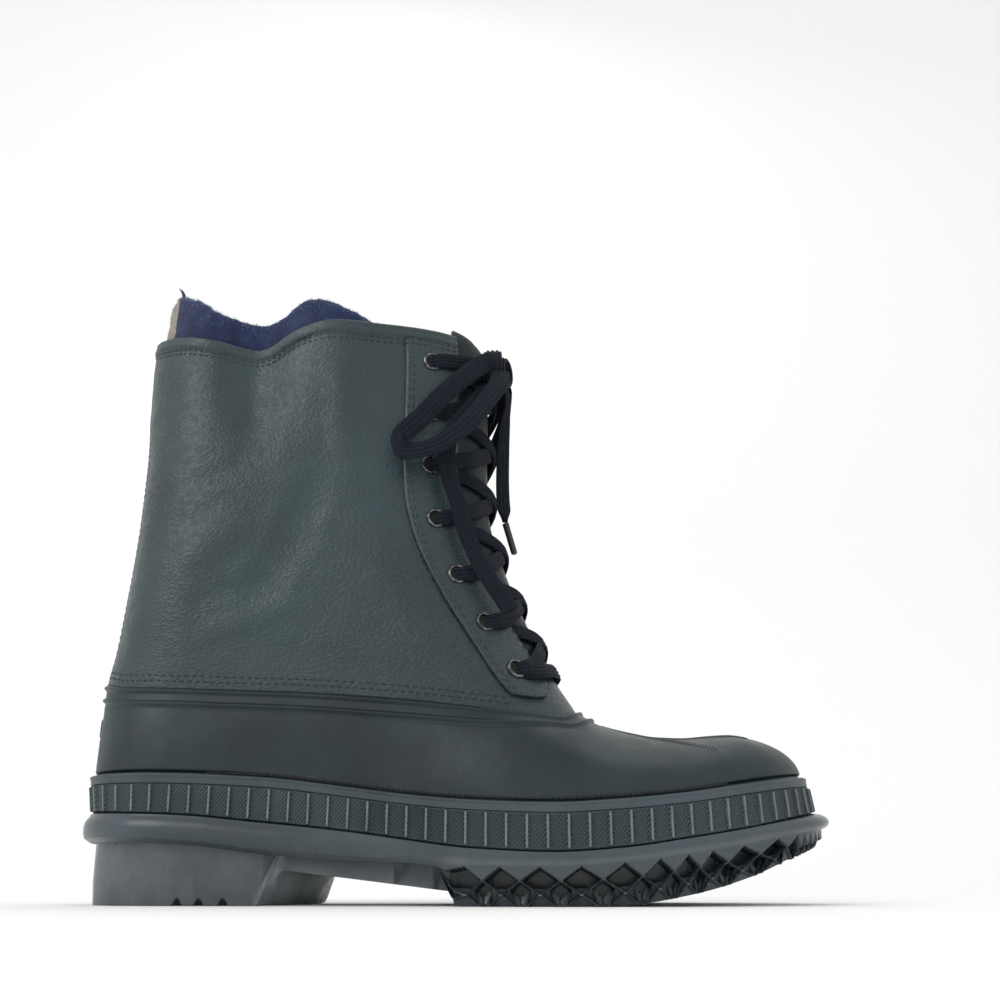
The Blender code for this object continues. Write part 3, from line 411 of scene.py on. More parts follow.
def leg_share(angle, level):
    knee = share_angle(THROAT_SHELL)
    high = share_angle(THROAT_COLLAR)
    front = lerp(high, np.pi, (angle - knee) / (np.pi - knee))
    upper = np.where(angle <= knee, angle * high / knee, front)
    angle = lerp(angle, upper, step(level, 0.0, 0.45))
    return (1 - np.cos(angle)) / 2


def leg_base(turn, level):
    turn = np.mod(turn + np.pi, 2 * np.pi) - np.pi
    side = np.where(turn > 0, 1, -1)
    return leg_point(leg_share(np.abs(turn), level), side, level)


def leg_normal(turn, level, small=0.01):
    across = leg_base(turn + small, level) - leg_base(turn - small, level)
    up = leg_base(turn, level + small) - leg_base(turn, level - small)
    return unit(np.cross(up, across))


def leg_skin(turn, level, out):
    """Leg point moved out along its normal; turn is the signed angle from the back, + medial."""
    turn, level, out = np.broadcast_arrays(turn, level, out)
    turn = turn.astype(float)
    return leg_base(turn, level) + leg_normal(turn, level) * out[..., None]


def liner_out(turn, level):
    turn = np.abs(np.mod(turn + np.pi, 2 * np.pi) - np.pi)
    front = step(turn, math.radians(118), math.pi - TONGUE_SPAN)
    leg = lerp(LEATHER_IN, TONGUE_OUT - TONGUE_WALL, front) - lerp(LINER_GAP, 2 * LINER_GAP, front)
    return lerp(np.minimum(LINER_FOOT, leg), leg, step(level, 0.03, 0.12))


TONGUE_SPAN = math.radians(34)
TONGUE_TOP = 1.035
KNEE = share_angle(THROAT_SHELL)


def shell_q(turn):
    """Place round the shell whose top edge lies at a turn of the leg."""
    turn = np.mod(turn + np.pi, 2 * np.pi) - np.pi
    places = np.linspace(0, 1, 2001)
    local = np.interp((1 - np.cos(turn)) / 2, read(FAN, "loop", places), places)
    q = np.arccos(1 - 2 * local) / (2 * np.pi)
    return np.where(turn <= 0, q, 1 - q)


def shell_places(q, distances, shares):
    """Rows of t for each q: at distances below the top edge, then at shares of what is left."""
    fine = 64
    ts = np.linspace(0, 1, fine + 1)
    line = shell_point(q[None, :], ts[:, None])
    run = np.vstack([np.zeros(len(q)), np.cumsum(np.linalg.norm(np.diff(line, axis=0), axis=2), 0)])
    rows = np.empty((len(distances) + len(shares), len(q)))
    down = np.empty_like(rows)
    for i in range(len(q)):
        total = run[-1, i]
        wanted = list(distances) + [lerp(distances[-1], total, s) for s in shares]
        rows[:, i] = np.interp(wanted, run[:, i], ts)
        down[:, i] = wanted
    return rows, down, run[-1]


# Mesh helpers


def make_mesh(name, points, faces, material, uv=None, angle=40, weights=None):
    """Object from a list of faces, or from arrays of four-cornered faces."""
    points = np.asarray(points, float).reshape(-1, 3).copy()
    faces = faces.tolist() if isinstance(faces, np.ndarray) else faces
    used = np.unique(np.concatenate([np.ravel(f) for f in faces]) if len(faces) else [])
    used = used.astype(int)
    if len(used) != len(points):
        index = np.full(len(points), -1)
        index[used] = np.arange(len(used))
        points = points[used]
        faces = [[int(index[v]) for v in f] for f in faces]
        if weights is not None:
            weights = {key: np.ravel(value)[used] for key, value in weights.items()}
    points[:, 0] -= LENGTH / 2
    mesh = bpy.data.meshes.new(name)
    mesh.from_pydata(points.tolist(), [], faces)
    if uv is not None:
        layer = mesh.uv_layers.new(name="UVMap")
        layer.data.foreach_set("uv", np.ravel(uv).astype(np.float32))
    for key, value in (weights or {}).items():
        layer = mesh.attributes.new(key, "FLOAT", "POINT")
        layer.data.foreach_set("value", np.ravel(value).astype(np.float32))
    mesh.update()
    mesh.shade_smooth()
    mesh.set_sharp_from_angle(angle=math.radians(angle))
    mesh.materials.append(material)
    item = bpy.data.objects.new(name, mesh)
    bpy.context.scene.collection.objects.link(item)
    return item


def wall_faces(rows, count, closed, kept=None):
    """Faces of a wall between two grids of one size, and each corner's row and column."""
    cells = count if closed else count - 1
    keep = np.ones((rows - 1, cells), bool) if kept is None else kept
    row, column = np.meshgrid(np.arange(rows - 1), np.arange(cells), indexing="ij")
    around = np.zeros((rows + 1, cells + 2), bool)
    around[1:-1, 1:-1] = keep
    if closed:
        around[1:-1, 0] = keep[:, -1]
        around[1:-1, -1] = keep[:, 0]
    base = rows * count
    sides = (
        (keep, ((0, 0, 0), (1, 0, 0), (1, 1, 0), (0, 1, 0))),
        (keep, ((0, 1, 1), (1, 1, 1), (1, 0, 1), (0, 0, 1))),
        (keep & ~around[:-2, 1:-1], ((0, 0, 0), (0, 1, 0), (0, 1, 1), (0, 0, 1))),
        (keep & ~around[2:, 1:-1], ((1, 1, 0), (1, 0, 0), (1, 0, 1), (1, 1, 1))),
        (keep & ~around[1:-1, :-2], ((1, 0, 0), (0, 0, 0), (0, 0, 1), (1, 0, 1))),
        (keep & ~around[1:-1, 2:], ((0, 1, 0), (1, 1, 0), (1, 1, 1), (0, 1, 1))),
    )
    faces = []
    spots = []
    for mask, corners in sides:
        r, c = row[mask], column[mask]
        faces.append(np.stack([(r + a) * count + (c + b) % count + k * base for a, b, k in corners], 1))
        spots.append(np.stack([np.stack([r + a, c + b], -1) for a, b, _ in corners], 1))
    return np.concatenate(faces), np.concatenate(spots)


def wall(name, outer, inner, material, closed=False, kept=None, uv=None, angle=40, weights=None,
         backing=None):
    """Wall between two grids of points; uv(row, column) gives its texture place."""
    rows, count = outer.shape[:2]
    faces, spots = wall_faces(rows, count, closed, kept)
    points = np.concatenate([outer.reshape(-1, 3), inner.reshape(-1, 3)])
    places = None if uv is None else uv(spots[..., 0], spots[..., 1])
    if weights is not None:
        weights = {key: np.concatenate([np.ravel(v), np.ravel(v)]) for key, v in weights.items()}
    if backing is not None:
        weights = {"backing": np.concatenate([np.ravel(backing), 0 * np.ravel(backing)])}
    return make_mesh(name, points, faces, material, places, angle, weights)


def ring_faces(rows, count, base=0, flip=False):
    j, i = np.meshgrid(np.arange(rows - 1), np.arange(count), indexing="ij")
    k = (i + 1) % count
    faces = np.stack([j * count + i, (j + 1) * count + i, (j + 1) * count + k, j * count + k], -1)
    faces = faces.reshape(-1, 4) + base
    return faces[:, ::-1] if flip else faces


def join(items, name):
    """One object from several, the first one's name and materials kept."""
    bpy.ops.object.select_all(action="DESELECT")
    for item in items:
        item.select_set(True)
    bpy.context.view_layer.objects.active = items[0]
    bpy.ops.object.join()
    items[0].name = name
    return items[0]


def settle(item, slot, *nodes):
    """Ride on the body and stand for the CAD nodes; slot is not used."""
    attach(item, "root")
    if nodes:
        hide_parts(*nodes)
    return item


def noise(points, scale, seed=0):
    """Smooth random hills: a few waves of each size in mixed directions."""
    random = np.random.default_rng(seed)
    value = np.zeros(points.shape[:-1])
    for octave in range(3):
        for _ in range(5):
            way = unit(random.normal(size=3)) * 2 * np.pi / (scale / 1.7 ** octave)
            value += np.sin(points @ way + random.uniform(0, 2 * np.pi)) / 1.6 ** octave
    return value / 6


# Materials


class Shader:
    """A Principled material whose nodes are added by short calls."""

    def __init__(self, name, colour, roughness, metallic=0.0, specular=0.5):
        self.material = bpy.data.materials.new(name)
        self.material.use_nodes = True
        self.nodes = self.material.node_tree.nodes
        self.links = self.material.node_tree.links
        self.shader = self.nodes["Principled BSDF"]
        self.shader.inputs["Base Color"].default_value = (*colour, 1.0)
        self.shader.inputs["Roughness"].default_value = roughness
        self.shader.inputs["Metallic"].default_value = metallic
        self.shader.inputs["Specular IOR Level"].default_value = specular
        self.place = self.nodes.new("ShaderNodeTexCoord")
        self.last_bump = None

    def link(self, source, target):
        self.links.new(source, target)

    def stretched(self, scale, output="Object"):
        node = self.nodes.new("ShaderNodeMapping")
        node.inputs["Scale"].default_value = scale
        self.link(self.place.outputs[output], node.inputs["Vector"])
        return node.outputs["Vector"]

    def noise(self, scale, detail=3.0, roughness=0.6, vector=None):
        node = self.nodes.new("ShaderNodeTexNoise")
        node.inputs["Scale"].default_value = scale
        node.inputs["Detail"].default_value = detail
        node.inputs["Roughness"].default_value = roughness
        self.link(vector or self.place.outputs["Object"], node.inputs["Vector"])
        return node.outputs["Fac"]

    def cells(self, scale, feature="F1", vector=None):
        node = self.nodes.new("ShaderNodeTexVoronoi")
        node.feature = feature
        node.inputs["Scale"].default_value = scale
        self.link(vector or self.place.outputs["Object"], node.inputs["Vector"])
        return node.outputs["Distance"]

    def wave(self, scale, vector, direction="X", distortion=0.0):
        node = self.nodes.new("ShaderNodeTexWave")
        node.bands_direction = direction
        node.inputs["Scale"].default_value = scale
        node.inputs["Distortion"].default_value = distortion
        self.link(vector, node.inputs["Vector"])
        return node.outputs["Fac"]

    def ramp(self, value, low, high, first=0.0, last=1.0):
        node = self.nodes.new("ShaderNodeMapRange")
        node.interpolation_type = "SMOOTHSTEP"
        node.inputs["From Min"].default_value = low
        node.inputs["From Max"].default_value = high
        node.inputs["To Min"].default_value = first
        node.inputs["To Max"].default_value = last
        self.link(value, node.inputs["Value"])
        return node.outputs["Result"]

    def math(self, operation, a, b):
        node = self.nodes.new("ShaderNodeMath")
        node.operation = operation
        for socket, value in zip(node.inputs, (a, b)):
            if isinstance(value, (int, float)):
                socket.default_value = value
            else:
                self.link(value, socket)
        return node.outputs["Value"]

    def mix(self, factor, first, second):
        node = self.nodes.new("ShaderNodeMix")
        node.data_type = "RGBA"
        self.link(factor, node.inputs["Factor"])
        for socket, value in ((node.inputs[6], first), (node.inputs[7], second)):
            if isinstance(value, tuple):
                socket.default_value = (*value, 1.0)
            else:
                self.link(value, socket)
        return node.outputs[2]

    def attribute(self, name):
        node = self.nodes.new("ShaderNodeAttribute")
        node.attribute_name = name
        return node.outputs["Fac"]

    def bump(self, height, distance, strength=1.0):
        node = self.nodes.new("ShaderNodeBump")
        node.inputs["Distance"].default_value = distance
        node.inputs["Strength"].default_value = strength
        self.link(height, node.inputs["Height"])
        if self.last_bump is not None:
            self.link(self.last_bump, node.inputs["Normal"])
        self.last_bump = node.outputs["Normal"]
        self.link(self.last_bump, self.shader.inputs["Normal"])

    def set(self, name, value):
        if isinstance(value, (int, float, tuple)):
            self.shader.inputs[name].default_value = value
        else:
            self.link(value, self.shader.inputs[name])


def rubber_material(name, dark, light, tint, roughness, tone_and_painted_light=None, recess_shade=None):
    """Moulded rubber: cloudy bloom, greenish patches, faint scuffs; an optional pale colour laid on by a
    weight, partly painted light, and an optional near-black colour of painted shade in recesses.
    """
    kit = Shader(name, dark, roughness)
    cloud = kit.ramp(kit.noise(14, 4), 0.35, 0.68)
    base = kit.mix(cloud, dark, light)
    base = kit.mix(kit.ramp(kit.noise(26, 3, 0.5), 0.52, 0.78, 0.0, 0.65), base, tint)
    rubbed = kit.ramp(kit.noise(160, 5, 0.75, kit.stretched((1.0, 1.0, 3.0))), 0.60, 0.80, 0.0, 0.35)
    base = kit.mix(rubbed, base, tuple(1.6 * c for c in light))
    # Pale colour by weight: a paler tone in some places and painted light in others.
    if tone_and_painted_light is not None:
        uneven = kit.ramp(kit.noise(120, 3), 0.30, 0.66, 0.60, 1.0)
        base = kit.mix(kit.math("MULTIPLY", kit.attribute("tone_and_painted_light"), uneven), base, tone_and_painted_light)
    # Near-black colour by weight: painted shade in recesses.
    if recess_shade is not None:
        base = kit.mix(kit.attribute("recess_shade"), base, recess_shade)
    kit.set("Base Color", base)
    kit.set("Roughness", kit.ramp(kit.noise(40, 4), 0.3, 0.75, roughness - 0.05, roughness + 0.10))
    kit.bump(kit.noise(900, 3), 0.00006)
    kit.bump(kit.noise(60, 3), 0.0005, 0.5)
    return kit


def leather_material(name, dark, light, tint):
    """Pebbled coated leather with a soft broken sheen and a painted highlight on the raised grain."""
    kit = Shader(name, dark, 0.42)
    cloud = kit.ramp(kit.noise(11, 4), 0.35, 0.68)
    base = kit.mix(cloud, dark, light)
    base = kit.mix(kit.ramp(kit.noise(20, 3, 0.5), 0.50, 0.78, 0.0, 0.6), base, tint)
    grain = kit.cells(620, vector=kit.stretched((1.0, 1.0, 1.35)))
    pores = kit.noise(1500, 3)
    # Paler colour on the raised grain: a painted highlight.
    grain_highlight = kit.ramp(grain, 0.10, 0.75, 0.0, 0.35)
    kit.set("Base Color", kit.mix(grain_highlight, base, tuple(1.5 * c for c in light)))
    kit.set("Roughness", kit.ramp(kit.noise(300, 3), 0.3, 0.7, 0.36, 0.52))
    kit.bump(kit.noise(45, 4), 0.0006, 0.5)
    kit.bump(grain, 0.00022, 0.9)
    kit.bump(pores, 0.00008, 0.6)
    return kit


def make_materials():
    made = {}
    dark = (0.006, 0.015, 0.018)
    light = (0.016, 0.034, 0.040)
    tint = (0.009, 0.029, 0.025)
    shell = rubber_material("shell_rubber_fine", (0.004, 0.011, 0.014), (0.012, 0.025, 0.030), tint, 0.44)
    shell.set("Specular IOR Level", 0.38)
    made["shell"] = shell.material
    # Rand rubber; its paler colour goes on the tops of the ribbed bars.
    kit = rubber_material("rand_rubber_fine", (0.022, 0.036, 0.042), (0.046, 0.066, 0.076), tint, 0.46,
                          (0.16, 0.175, 0.185))
    place = kit.place.outputs["UV"]
    slant = kit.nodes.new("ShaderNodeMapping")
    slant.inputs["Rotation"].default_value = (0.0, 0.0, math.radians(40))
    kit.link(place, slant.inputs["Vector"])
    one = kit.wave(260, slant.outputs["Vector"])
    other = kit.wave(260, slant.outputs["Vector"], "Y")
    cross = kit.math("MULTIPLY", other, kit.attribute("crosshatch"))
    knurl = kit.math("MULTIPLY", kit.math("ADD", one, cross), kit.attribute("knurl"))
    kit.bump(knurl, 0.0005, 1.0)
    made["rand"] = kit.material
    # Sole: its pale colour is painted light on the arch panel, heel breast, heel block side and lug edges,
    # with a paler tone low on the side wall; its near-black colour is painted shade in the lug pits and
    # grooves.
    sole = rubber_material("sole_rubber_fine", (0.026, 0.038, 0.045), (0.050, 0.066, 0.078),
                           (0.028, 0.042, 0.046), 0.30, tone_and_painted_light=(0.31, 0.33, 0.345),
                           recess_shade=(0.006, 0.008, 0.009))
    made["sole"] = sole.material
    lug = rubber_material("lug_rubber_fine", (0.016, 0.019, 0.021), (0.026, 0.030, 0.034), tint, 0.5)
    made["lug"] = lug.material
    made["leather"] = leather_material("leg_leather_fine", dark, light, tint).material
    made["overlay"] = leather_material("eyestay_leather_fine", (0.007, 0.017, 0.019), light, tint).material
    tongue = leather_material("tongue_leather_fine", (0.003, 0.007, 0.009), (0.008, 0.015, 0.018), dark)
    tongue.set("Specular IOR Level", 0.22)
    made["tongue"] = tongue.material
    thread = Shader("thread_fine", (0.040, 0.047, 0.050), 0.7)
    thread.bump(thread.wave(2600, thread.place.outputs["Object"], "DIAGONAL"), 0.0002)
    made["thread"] = thread.material
    felt = Shader("liner_felt_fine", (0.030, 0.050, 0.140), 0.95, specular=0.2)
    fibres = felt.ramp(felt.noise(1100, 4, 0.8, felt.stretched((1.0, 1.0, 0.35))), 0.62, 0.78)
    cloud = felt.mix(felt.ramp(felt.noise(90, 4), 0.3, 0.7), (0.010, 0.018, 0.060), (0.024, 0.040, 0.110))
    blue = felt.mix(fibres, cloud, (0.10, 0.13, 0.24))
    backing = felt.mix(felt.ramp(felt.noise(500, 3), 0.3, 0.7), (0.24, 0.22, 0.18), (0.36, 0.33, 0.27))
    felt.set("Base Color", felt.mix(felt.attribute("backing"), blue, backing))
    felt.set("Sheen Weight", 0.15)
    felt.bump(felt.noise(700, 5, 0.8), 0.0012, 0.9)
    made["felt"] = felt.material
    lint = Shader("felt_fibre_fine", (0.26, 0.32, 0.52), 0.9)
    made["lint"] = lint.material
    metal = Shader("eyelet_metal_fine", (0.20, 0.21, 0.22), 0.24, 1.0)
    tone_and_painted_light = metal.ramp(metal.noise(500, 3), 0.42, 0.62)
    metal.set("Base Color", metal.mix(tone_and_painted_light, (0.17, 0.175, 0.18), (0.06, 0.06, 0.065)))
    metal.set("Roughness", metal.ramp(metal.noise(900, 3), 0.3, 0.7, 0.16, 0.34))
    made["metal"] = metal.material
    # Near-black disc colour: painted shade in the eyelet holes.
    made["hole"] = Shader("eyelet_hole_fine", (0.004, 0.004, 0.005), 0.9).material
    braid = Shader("lace_braid_fine", (0.004, 0.005, 0.010), 0.9, specular=0.25)
    weave = braid.wave(420, braid.stretched((1.0, 1.6, 1.0), "UV"), "DIAGONAL")
    fuzz = braid.noise(2400, 4, 0.8)
    tone = braid.mix(braid.ramp(weave, 0.35, 0.95), (0.002, 0.004, 0.008), (0.008, 0.013, 0.027))
    braid.set("Base Color", braid.mix(braid.ramp(fuzz, 0.60, 0.80, 0.0, 0.5), tone, (0.016, 0.022, 0.038)))
    braid.set("Sheen Weight", 0.03)
    braid.bump(weave, 0.0003)
    braid.bump(fuzz, 0.0002)
    made["lace"] = braid.material
    made["tip"] = Shader("lace_tip_fine", (0.015, 0.015, 0.017), 0.25).material
    return made


MATERIALS = make_materials()


# Stitches and other small repeats


def scatter(name, template, faces, places, axes, material, angle=60):
    """One mesh of copies: template points scaled by each place's three axes."""
    template = np.asarray(template, float)
    faces = np.asarray(faces)
    points = places[:, None, :] + np.einsum("pk,nkd->npd", template, axes)
    shift = np.arange(len(places)) * len(template)
    all_faces = (faces[None] + shift[:, None, None]).reshape(-1, faces.shape[1])
    return make_mesh(name, points, all_faces, material, angle=angle)


def capsule():
    """Stitch of length 1 along x, half width 1 along y, height 1 along z."""
    rings = ((-0.5, 0.25, -0.35), (-0.38, 0.8, 0.15), (0.0, 1.0, 0.45), (0.38, 0.8, 0.15),
             (0.5, 0.25, -0.35))
    sides = 6
    points = []
    for x, wide, lift in rings:
        for k in range(sides):
            turn = 2 * math.pi * k / sides
            points.append((x, wide * math.cos(turn), lift + 0.55 * wide * math.sin(turn)))
    faces = []
    for j in range(len(rings) - 1):
        for k in range(sides):
            n = (k + 1) % sides
            faces.append((j * sides + k, j * sides + n, (j + 1) * sides + n, (j + 1) * sides + k))
    return points, faces


STITCHES = []


def stitch_line(points, normals, pitch=3.0 * MM, long=2.2 * MM, wide=0.30 * MM, high=0.42 * MM,
                wobble=0.06):
    """Stitches along a line of points on a surface with its normals."""
    run = run_along(points)
    count = int(run[-1] / pitch)
    if count < 1:
        return
    random = np.random.default_rng(len(STITCHES) + 7)
    spots = (np.arange(count) + 0.5) * run[-1] / count
    place = read_along(spots, run, points)
    ahead = read_along(spots + long / 4, run, points)
    behind = read_along(spots - long / 4, run, points)
    along = unit(ahead - behind)
    out = unit(read_along(spots, run, normals))
    side = unit(np.cross(out, along))
    along = unit(along + side * random.normal(0, wobble, (count, 1)))
    side = unit(np.cross(out, along))
    STITCHES.append((place, np.stack([along * long, side * wide, out * high], 1)))


# Upper: the rubber shell with its beads, toe strips and heel patch


TOE_STRIPS = ((0.86, 0.845), (0.50, 0.90), (0.15, 0.90))
STRIP_START = 0.675
STRIP_HALF = 2.9 * MM
STRIP_RISE = 0.5 * MM
TOP_BEADS = (1.5 * MM, 7.2 * MM)
BEAD_HALF = 1.5 * MM


def strip_across(share, reach, last):
    """Side place of a toe strip at a share of the length, as a share of the half width."""
    t = np.clip((share - STRIP_START) / (last - STRIP_START), 0, 1)
    return reach * (0.10 + 0.90 * t ** 1.25)


def strip_relief(points):
    share = points[..., 0] / LENGTH
    across = points[..., 1] - read(FORM, "swing", share) * BALL_WIDTH
    result = np.zeros(share.shape)
    for side in (-1, 1):
        half = half_width(share, np.full(share.shape, side))
        for reach, last in TOE_STRIPS:
            middle = side * strip_across(share, reach, last) * half
            ends = step(share, STRIP_START, STRIP_START + 0.05) * (1 - step(share, last - 0.06, last))
            flat = 1 - step(np.abs(across - middle), STRIP_HALF * 0.5, STRIP_HALF * 1.1)
            result = np.maximum(result, flat * ends)
    return result


def build_upper():
    columns = 640
    q = np.arange(columns) / columns
    distances = np.linspace(0, 12.0 * MM, 40)
    shares = np.concatenate([np.linspace(0, 0.955, 56)[1:], (0.965, 0.975, 0.983, 0.99, 0.995, 1.0)])
    t, down, total = shell_places(q, distances, shares)
    qq = np.broadcast_to(q, t.shape)
    base = shell_point(qq, t)
    rise = sum(BEAD_RISE * bump(down, place, BEAD_HALF) for place in TOP_BEADS)
    rise -= 0.2 * MM * bump(down, 9.2 * MM, 0.7 * MM)
    rise += STRIP_RISE * strip_relief(base) * step(down, 10 * MM, 14 * MM)
    around = np.minimum(qq, 1 - qq)
    arc = np.abs(base[..., 1])
    patch = (around < 0.1) * (1 - step(arc, 11 * MM, 12 * MM))
    rise += 0.8 * MM * patch * step(down, 15 * MM, 16 * MM) * (1 - step(down, 23 * MM, 24 * MM))
    rise += 0.6 * MM * patch * bump(down, 25.5 * MM, 0.9 * MM)
    rise -= 1.3 * MM * bump(total[None] - down, 0.4 * MM, 1.3 * MM)
    rise += 0.35 * MM * noise(base, 0.06, 3) * step(down, 9 * MM, 20 * MM)
    flex = np.abs(base[..., 0] / LENGTH - 0.655 - 0.25 * np.abs(base[..., 1])) * LENGTH
    rise -= 0.3 * MM * bump(flex, 0, 14 * MM) * step(down, 9 * MM, 22 * MM)
    outer = base + shell_normal(qq, t) * rise[..., None]
    skirt = [skirt_point(q, drop, 0.0) for drop in (0.3, 1.0)]
    skirt[-1][:, 2] += GAP
    outer = np.concatenate([outer, skirt])
    inner_t, _, _ = shell_places(q, [0.0, 2 * MM], np.linspace(0, 1, 14)[1:])
    inner = shell_skin(np.broadcast_to(q, inner_t.shape), inner_t, np.array(-SHELL_WALL))
    foot = skirt_point(q, 1.0, -SHELL_WALL)
    foot[:, 2] += GAP
    inner = np.concatenate([inner, foot[None]])
    base_index = outer.shape[0] * columns
    faces = [ring_faces(outer.shape[0], columns), ring_faces(inner.shape[0], columns, base_index, True)]
    i = np.arange(columns)
    k = (i + 1) % columns
    faces.append(np.stack([i, k, base_index + k, base_index + i], 1))
    low = (outer.shape[0] - 1) * columns
    low_in = base_index + (inner.shape[0] - 1) * columns
    faces.append(np.stack([low + k, low + i, low_in + i, low_in + k], 1))
    points = np.concatenate([outer.reshape(-1, 3), inner.reshape(-1, 3)])
    item = make_mesh("shell", points, np.concatenate(faces), MATERIALS["shell"], angle=50)
    return settle(item, "shell_rubber", "upper")


def shell_grid():
    """Coarse lookup of the shell's skin over the vamp, for pieces that lie on it."""
    q, t = np.meshgrid(np.linspace(0.30, 0.70, 401), np.linspace(0.0, 1.0, 241))
    return q.ravel(), t.ravel(), shell_point(q, t).reshape(-1, 3)


def build_studs():
    """Small studs in three rows along each toe strip."""
    grid_q, grid_t, grid = shell_grid()
    wanted = []
    pitch = 1.7 * MM
    for side in (-1, 1):
        for reach, last in TOE_STRIPS:
            count = int((last - STRIP_START) * LENGTH * 1.1 / pitch)
            share = np.linspace(STRIP_START + 0.02, last - 0.015, count)
            for row in (-1, 0, 1):
                place = share + (0.5 * pitch / LENGTH if row == 0 else 0.0)
                half = half_width(place, np.full(count, side))
                y = read(FORM, "swing", place) * BALL_WIDTH + side * strip_across(place, reach, last) * half
                wanted.append(np.stack([place * LENGTH, y + row * 1.6 * MM], 1))
    wanted = np.concatenate(wanted)
    near = np.array([np.argmin(((grid[:, :2] - p) ** 2).sum(1)) for p in wanted])
    q, t = grid_q[near], grid_t[near]
    small = 1e-4
    for _ in range(4):
        here = shell_point(q, t)
        by_q = ((shell_point(q + small, t) - here) / small)[:, :2]
        by_t = ((shell_point(q, t + small) - here) / small)[:, :2]
        miss = wanted - here[:, :2]
        area = by_q[:, 0] * by_t[:, 1] - by_q[:, 1] * by_t[:, 0]
        area = np.where(np.abs(area) < 1e-8, 1e-8, area)
        q_move = (miss[:, 0] * by_t[:, 1] - miss[:, 1] * by_t[:, 0]) / area
        t_move = (by_q[:, 0] * miss[:, 1] - by_q[:, 1] * miss[:, 0]) / area
        q = np.clip(q + np.clip(q_move, -0.01, 0.01), 0.3, 0.7)
        t = np.clip(t + np.clip(t_move, -0.02, 0.02), 0, 1)
    out = shell_normal(q, t)
    place = shell_point(q, t)
    place = place + out * (STRIP_RISE * strip_relief(place) - 0.05 * MM)[:, None]
    along = unit(np.cross(out, np.array([0.0, 1.0, 0.0])))
    side = np.cross(out, along)
    size = 0.62 * MM
    template = [(1, 0, 0), (0, 1, 0), (-1, 0, 0), (0, -1, 0), (0.4, 0.4, 0.6), (-0.4, 0.4, 0.6),
                (-0.4, -0.4, 0.6), (0.4, -0.4, 0.6)]
    faces = [(0, 1, 5, 4), (1, 2, 6, 5), (2, 3, 7, 6), (3, 0, 4, 7), (4, 5, 6, 7)]
    axes = np.stack([along * size, side * size, out * size], 1)
    item = scatter("toe_studs", template, faces, place, axes, MATERIALS["shell"], 30)
    return settle(item, "shell_rubber")


# Rand: top bead, smooth strip and ribbed band with knurled panels


def around_line(drop, out, fine=2880):
    q = np.arange(fine + 1) / fine
    return q, run_along(skirt_point(q, drop, out))


def build_rand():
    q_line, run = around_line(0.5, RAND_GAP + RAND_WALL)
    ribs = 2 * round(run[-1] / RIB_PITCH / 2)
    spots = np.array((-0.72, -0.48, -0.36, 0.0, 0.36, 0.48, 0.72, 1.5, 2.9, 4.1, 5.3, 6.7)) * MM / RIB_PITCH
    place = (np.arange(ribs)[:, None] + 0.5 + spots[None]).ravel()
    columns = len(place)
    q = np.interp(place / ribs * run[-1], run, q_line)
    phase = np.abs(np.mod(place, 1.0) - 0.5) * RIB_PITCH
    bar = 1 - step(phase, 0.38 * MM, 0.60 * MM)
    depth = skirt_point(q, 0.0, 0.0)[:, 2] - skirt_point(q, 1.0, 0.0)[:, 2]
    strip = RAND_STRIP / depth
    heel_drop = 0.085 * (1 - step(foot_point(q)[:, 0] / LENGTH, 0.20, 0.42))
    rows = []
    knurl = []
    tone_and_painted_light = []
    full = RAND_GAP + RAND_WALL
    top = ((0.0, 0.2), (0.02, 1.2), (0.08, 1.85), (0.16, 2.05), (0.28, 1.95), (0.34, 1.75),
           (0.60, 1.75), (0.86, 1.75), (0.93, 1.3), (0.98, 1.5))
    for share, out in top:
        rows.append((share * strip, full + (out - 2.1) * MM))
        knurl.append(np.zeros(columns))
        tone_and_painted_light.append(np.zeros(columns))
    band = (0.0, 0.03, 0.06, 0.12, 0.25, 0.4, 0.55, 0.7, 0.82, 0.88, 0.91, 0.94, 0.97)
    for share in band:
        edge = step(share, 0.0, 0.03) * (1 - step(share, 0.90, 0.94))
        rise = lerp(-0.25 * MM, RIB_RISE, bar) * edge
        foot = -0.9 * MM * step(share, 0.93, 0.97)
        rows.append((lerp(strip, 1.0 + heel_drop, share), full + rise + foot))
        knurl.append((1 - bar) * edge)
        # The bar tops take the paler rand colour.
        tone_and_painted_light.append(0.85 * (phase < 0.40 * MM) * edge)
    outer = np.stack([skirt_point(q, drop, out) for drop, out in rows])
    knurl = np.stack(knurl)
    inner = np.stack([skirt_point(q, drop, RAND_GAP) for drop, _ in rows])
    share = foot_point(q)[:, 0] / LENGTH
    hatch = np.broadcast_to(step(share, 0.36, 0.40), knurl.shape)
    across = np.concatenate([place / ribs * run[-1], [run[-1]]])
    heights = outer[..., 2]

    def uv(row, column):
        return np.stack([across[column], heights[row, column % columns]], -1)

    item = wall("rand_band", outer, inner, MATERIALS["rand"], True, uv=uv, angle=35,
                weights={"knurl": knurl, "crosshatch": hatch, "tone_and_painted_light": np.stack(tone_and_painted_light)})
    return settle(item, "shell_rubber", "rand")


